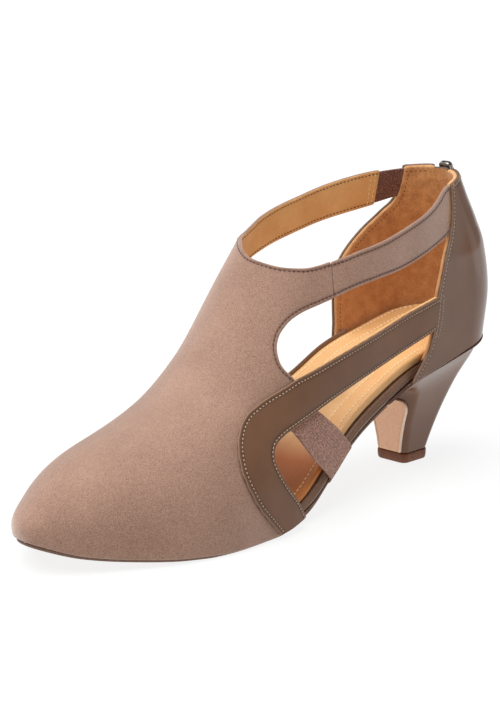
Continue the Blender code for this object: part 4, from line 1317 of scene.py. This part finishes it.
def makeFootbedStitches():
    # two rows round the footbed as (inset, where they end along it), and two across the inner strap's end
    rows = []
    upward = np.tile((0.0, 0.0, 1.0), (300, 1))
    for inset, front in ((6.2, 0.97), (12.7, 0.46)):
        for side in (1, -1):
            plan = planEdge(np.linspace(0.06, front, 300) * side, np.full((300, 1), inset))[:, 0]
            height = insoleTop(plan[:, 0]) - cupDepth(sole["cup"], inset - sole["insoleInset"])
            rows.append(stitchRow(np.column_stack([plan, height + 0.03]), upward, **stitch["footbed"]))
    for x in (37.2, 39.4):
        low, high = heightOf(lines["strapLowInner"], x) + 1.0, heightOf(lines["toplineInner"], x) - 1.0
        line = fromSide(straight((x, low), (x, high)), -1)
        rows.append(formStitches(line, 0.0, vamp["inner"] - stitchRise, "strap", inside=True))
    addStitches("footbedStitches", rows, tanThread)


def makeLiningStitches():
    top, front = counterEdges[1]
    height = onForm(front)[:, 2]
    hems = ((front[height < 125.0], 2.6), (top[3:-3], 2.2), (counterEdges[0][1], 2.6))
    rows = [formStitches(line, distance, counter["lining"]["inner"] - stitchRise, "lining", inside=True)
            for line, distance in hems]
    addStitches("liningStitches", rows, rustThread)


makeSuedeStitches()
makeLeatherStitches()
makeFootbedStitches()
makeLiningStitches()
print("stitches made")


# Zip: woven tape in the slot, two coils of teeth, slider with its bail, and the pull on its own body.
# The slider's rings are (out from its seat, inset).
zipper = dict(tapeHalf=4.4, tapeInner=-1.5, tapeOuter=-0.2, foot=71.0, top=127.4,
              coil=1.7, coilWidth=0.8, coilHigh=0.45, coilOut=0.1, coilApart=0.6, pitch=0.95,
              seat=125.2, lean=24.0, stand=0.9, halfTop=3.3, halfFoot=2.4, up=3.8, down=4.2,
              sliderRings=((0.0, 0.3), (0.12, 0.08), (0.3, 0.0), (0.9, 0.0), (1.0, 0.5), (1.3, 0.5),
                           (1.4, 0.0), (2.1, 0.0), (2.28, 0.1), (2.4, 0.4)),
              bailHalf=0.8, bailLeg=1.95, bailFrom=3.1, bailTop=5.5, bailThick=0.4, pinOut=4.2,
              pullHalf=2.3, pullTaper=0.35, pullLength=16.5, pullThick=1.2, eye=3.4, arm=1.1, pin=0.6)


def makeTape():
    # across * half width beside the middle of the back, at even heights
    rise = backRise(zipper["foot"], zipper["top"], 70, 0.7)
    reach = 0.01
    width = formPoint(np.full_like(rise, reach), rise)[:, 1]
    across = np.linspace(-1, 1, 15)[:, None]
    along = across * reach * zipper["tapeHalf"] / width
    patch = np.stack([along, np.broadcast_to(rise, along.shape)], axis=-1)
    outer = skin(patch, np.full(along.shape, zipper["tapeOuter"]))
    inner = skin(patch, np.full(along.shape, zipper["tapeInner"]))
    ends = [np.stack([outer[:, place], inner[:, place]], axis=0) for place in (0, -1)]
    ends += [np.stack([outer[place], inner[place]], axis=0) for place in (0, -1)]
    surfaces = [surface(outer, 0), surface(inner, 1)] + [surface(end) for end in ends]
    addPiece("zipTape", surfaces, (tape, heelLining), replaces=("zip_tape",), sharp=40)
    return rise


def makeTeeth(rise):
    # two rows of ellipsoids up the tape, half a pitch apart
    point, normal = formFrame(np.column_stack([np.zeros_like(rise), rise]))[:2]
    run = lengths(point)
    rows = []
    for side, start in ((1, 0.0), (-1, 0.5)):
        where = np.arange(start + 0.5, run[-1] / zipper["pitch"] - 0.5) * zipper["pitch"]
        centre = readAlong(where, run, point + zipper["coilOut"] * normal)
        upward = readAlong(where, run, normal)
        tangent = np.tile((0.0, 1.0, 0.0), (len(where), 1))
        shape = stitchShape(zipper["coil"], zipper["coilWidth"], zipper["coilHigh"])
        shape[..., 0] += side * zipper["coilApart"]
        rows.append(placed(shape, centre, tangent, np.cross(upward, tangent), upward))
    addStitches("zipTeeth", rows, metal, replaces=("zip_teeth",))


def sliderPlace(out, across, up):
    # from the slider's own directions, which lean with the back
    tilt = np.radians(zipper["lean"])
    height = zipper["seat"] - lastValue("feather", 0.0)
    seat = np.array((backValue("lean", height), 0.0, zipper["seat"]))
    outward, upward = np.array((-np.cos(tilt), 0, np.sin(tilt))), np.array((np.sin(tilt), 0, np.cos(tilt)))
    across = np.asarray(across)[..., None] * np.array((0.0, 1.0, 0.0))
    return seat + np.asarray(out)[..., None] * outward + across + np.asarray(up)[..., None] * upward


def roundBox(angle, half, low, high, power):
    # superellipse with a half width that may change with its height
    cos, sin = np.cos(angle), np.sin(angle)
    up = np.sign(sin) * np.abs(sin) ** (2 / power)
    across = np.sign(cos) * np.abs(cos) ** (2 / power)
    share = 0.5 + 0.5 * up
    return across * (half[0] * (1 - share) + half[1] * share), low * (1 - share) + high * share


def makeSlider():
    angle = circle(48)
    rings = []
    for out, inset in zipper["sliderRings"]:
        half = zipper["halfFoot"] - inset, zipper["halfTop"] - inset
        across, up = roundBox(angle, half, inset - zipper["down"], zipper["up"] - inset, 4.0)
        rings.append(sliderPlace(np.full(len(angle), zipper["stand"] + out), across, up))
    # bail: a flat section carried along a half loop above the slider
    turn = np.linspace(0, np.pi, 25)
    foot, top, thick = zipper["bailFrom"], zipper["bailTop"], zipper["bailThick"]
    path = np.column_stack([foot + (top - foot) * np.sin(turn) ** 0.7, zipper["bailLeg"] * np.cos(turn)])
    tangent = unit(np.gradient(path, axis=0))
    side = np.column_stack([tangent[:, 1], -tangent[:, 0]])
    across, depth = roundBox(circle(16), (zipper["bailHalf"],) * 2, -thick, thick, 4.0)
    place = path[:, None] + side[:, None] * depth[None, :, None]
    bail = sliderPlace(place[..., 0], np.broadcast_to(across, place.shape[:2]), place[..., 1])
    surfaces = capped(np.stack(rings)) + capped(bail)
    addPiece("zipSlider", surfaces, (metal,), replaces=("zip_slider",), sharp=45)


def makePull():
    # ring between the eye and the outline, with a rounded section: front, outer edge, back, eye edge
    angle = circle(64)
    half, pin, thick = zipper["pullHalf"], zipper["pin"], 0.5 * zipper["pullThick"]
    halves = half, half - zipper["pullTaper"]
    outline = np.column_stack(roundBox(angle, halves, -zipper["pullLength"], pin, 5.0))
    eye = np.column_stack(roundBox(angle, (half - zipper["arm"],) * 2, -pin - zipper["eye"], -pin, 3.5))
    across, depth = roundBox(circle(20), (1.0, 1.0), -thick, thick, 7.0)
    share = (0.5 + 0.5 * across)[None, :, None]
    place = eye[:, None] * (1 - share) + outline[:, None] * share
    out = zipper["pinOut"] + np.broadcast_to(depth, place.shape[:2])
    surfaces = [surface(sliderPlace(out, place[..., 0], place[..., 1]), wrapRows=True, wrapColumns=True)]
    addPiece("zipPull", surfaces, (metal,), body="pull_tab", replaces=("zip_pull",), sharp=50)


makeTeeth(makeTape())
makeSlider()
makePull()
print("zip made")


# Floor, light and camera; places of lamps are metres in the frame
studio = dict(floor=12.0, floorAlbedo=0.13, floorGlow=0.85, world=0.2, strip=0.25, rim=2.0,
              sun=3.75, sunSize=60.0, sunFrom=(0.33, -0.08, 1.0), target=(134.0, 0.0, 60.2), azimuth=45.0,
              elevation=13.2, distance=700.0, pixelsPerMm=2.5, imageHeight=720.0, sensor=36.0)


def makeFloor():
    size = studio["floor"]
    corners = [(-size, -size, 0), (size, -size, 0), (size, size, 0), (-size, size, 0)]
    mesh = bpy.data.meshes.new("floor")
    mesh.from_pydata(corners, [], [(0, 1, 2, 3)])
    paper = Finish("paper", Roughness=0.9, Base_Color=(studio["floorAlbedo"],) * 3 + (1.0,),
                   Emission_Color=(1.0, 1.0, 1.0, 1.0), Emission_Strength=studio["floorGlow"])
    mesh.materials.append(paper.material)
    floor = bpy.data.objects.new("floor", mesh)
    bpy.context.scene.collection.objects.link(floor)


def addLight(name, kind, place, aim, power, **settings):
    light = bpy.data.lights.new(name, kind)
    light.energy = power
    for setting, value in settings.items():
        setattr(light, setting, value)
    lamp = bpy.data.objects.new(name, light)
    lamp.location = place
    lamp.rotation_euler = (Vector(aim) - Vector(place)).to_track_quat("-Z", "Y").to_euler()
    bpy.context.scene.collection.objects.link(lamp)


def makeCamera():
    turn, tilt = np.radians(studio["azimuth"]), np.radians(studio["elevation"])
    back = Vector((np.sin(turn) * np.cos(tilt), np.cos(turn) * np.cos(tilt), np.sin(tilt)))
    right = Vector((-np.cos(turn), np.sin(turn), 0.0))
    up = back.cross(right)
    camera = bpy.data.objects.new("camera", bpy.data.cameras.new("camera"))
    bpy.context.scene.collection.objects.link(camera)
    stand = Matrix((right, up, back)).transposed().to_4x4()
    stand.translation = Vector(toMetres(studio["target"])) + back * studio["distance"] * 0.001
    camera.matrix_world = stand
    camera.data.sensor_fit = "VERTICAL"
    camera.data.sensor_height = studio["sensor"]
    camera.data.lens = studio["pixelsPerMm"] * studio["distance"] / studio["imageHeight"] * studio["sensor"]
    camera.data.clip_start = 0.01
    bpy.context.scene.camera = camera


def makeStudio():
    makeFloor()
    world = bpy.data.worlds.new("studio")
    world.use_nodes = True
    world.node_tree.nodes["Background"].inputs["Color"].default_value = (1.0, 1.0, 1.0, 1.0)
    world.node_tree.nodes["Background"].inputs["Strength"].default_value = studio["world"]
    bpy.context.scene.world = world
    sunSize = np.radians(studio["sunSize"])
    addLight("overhead", "SUN", studio["sunFrom"], (0, 0, 0), studio["sun"], angle=sunSize)
    addLight("side", "AREA", (-0.85, 0.3, 0.3), (-0.1, 0, 0.08), studio["strip"], shape="RECTANGLE", size=0.2,
             size_y=0.7)
    addLight("rim", "AREA", (0.1, -1.0, 0.75), (0.03, 0, 0.05), studio["rim"], shape="DISK", size=0.8)
    bpy.context.scene.view_settings.view_transform = "Standard"
    makeCamera()


makeStudio()
print("studio made")
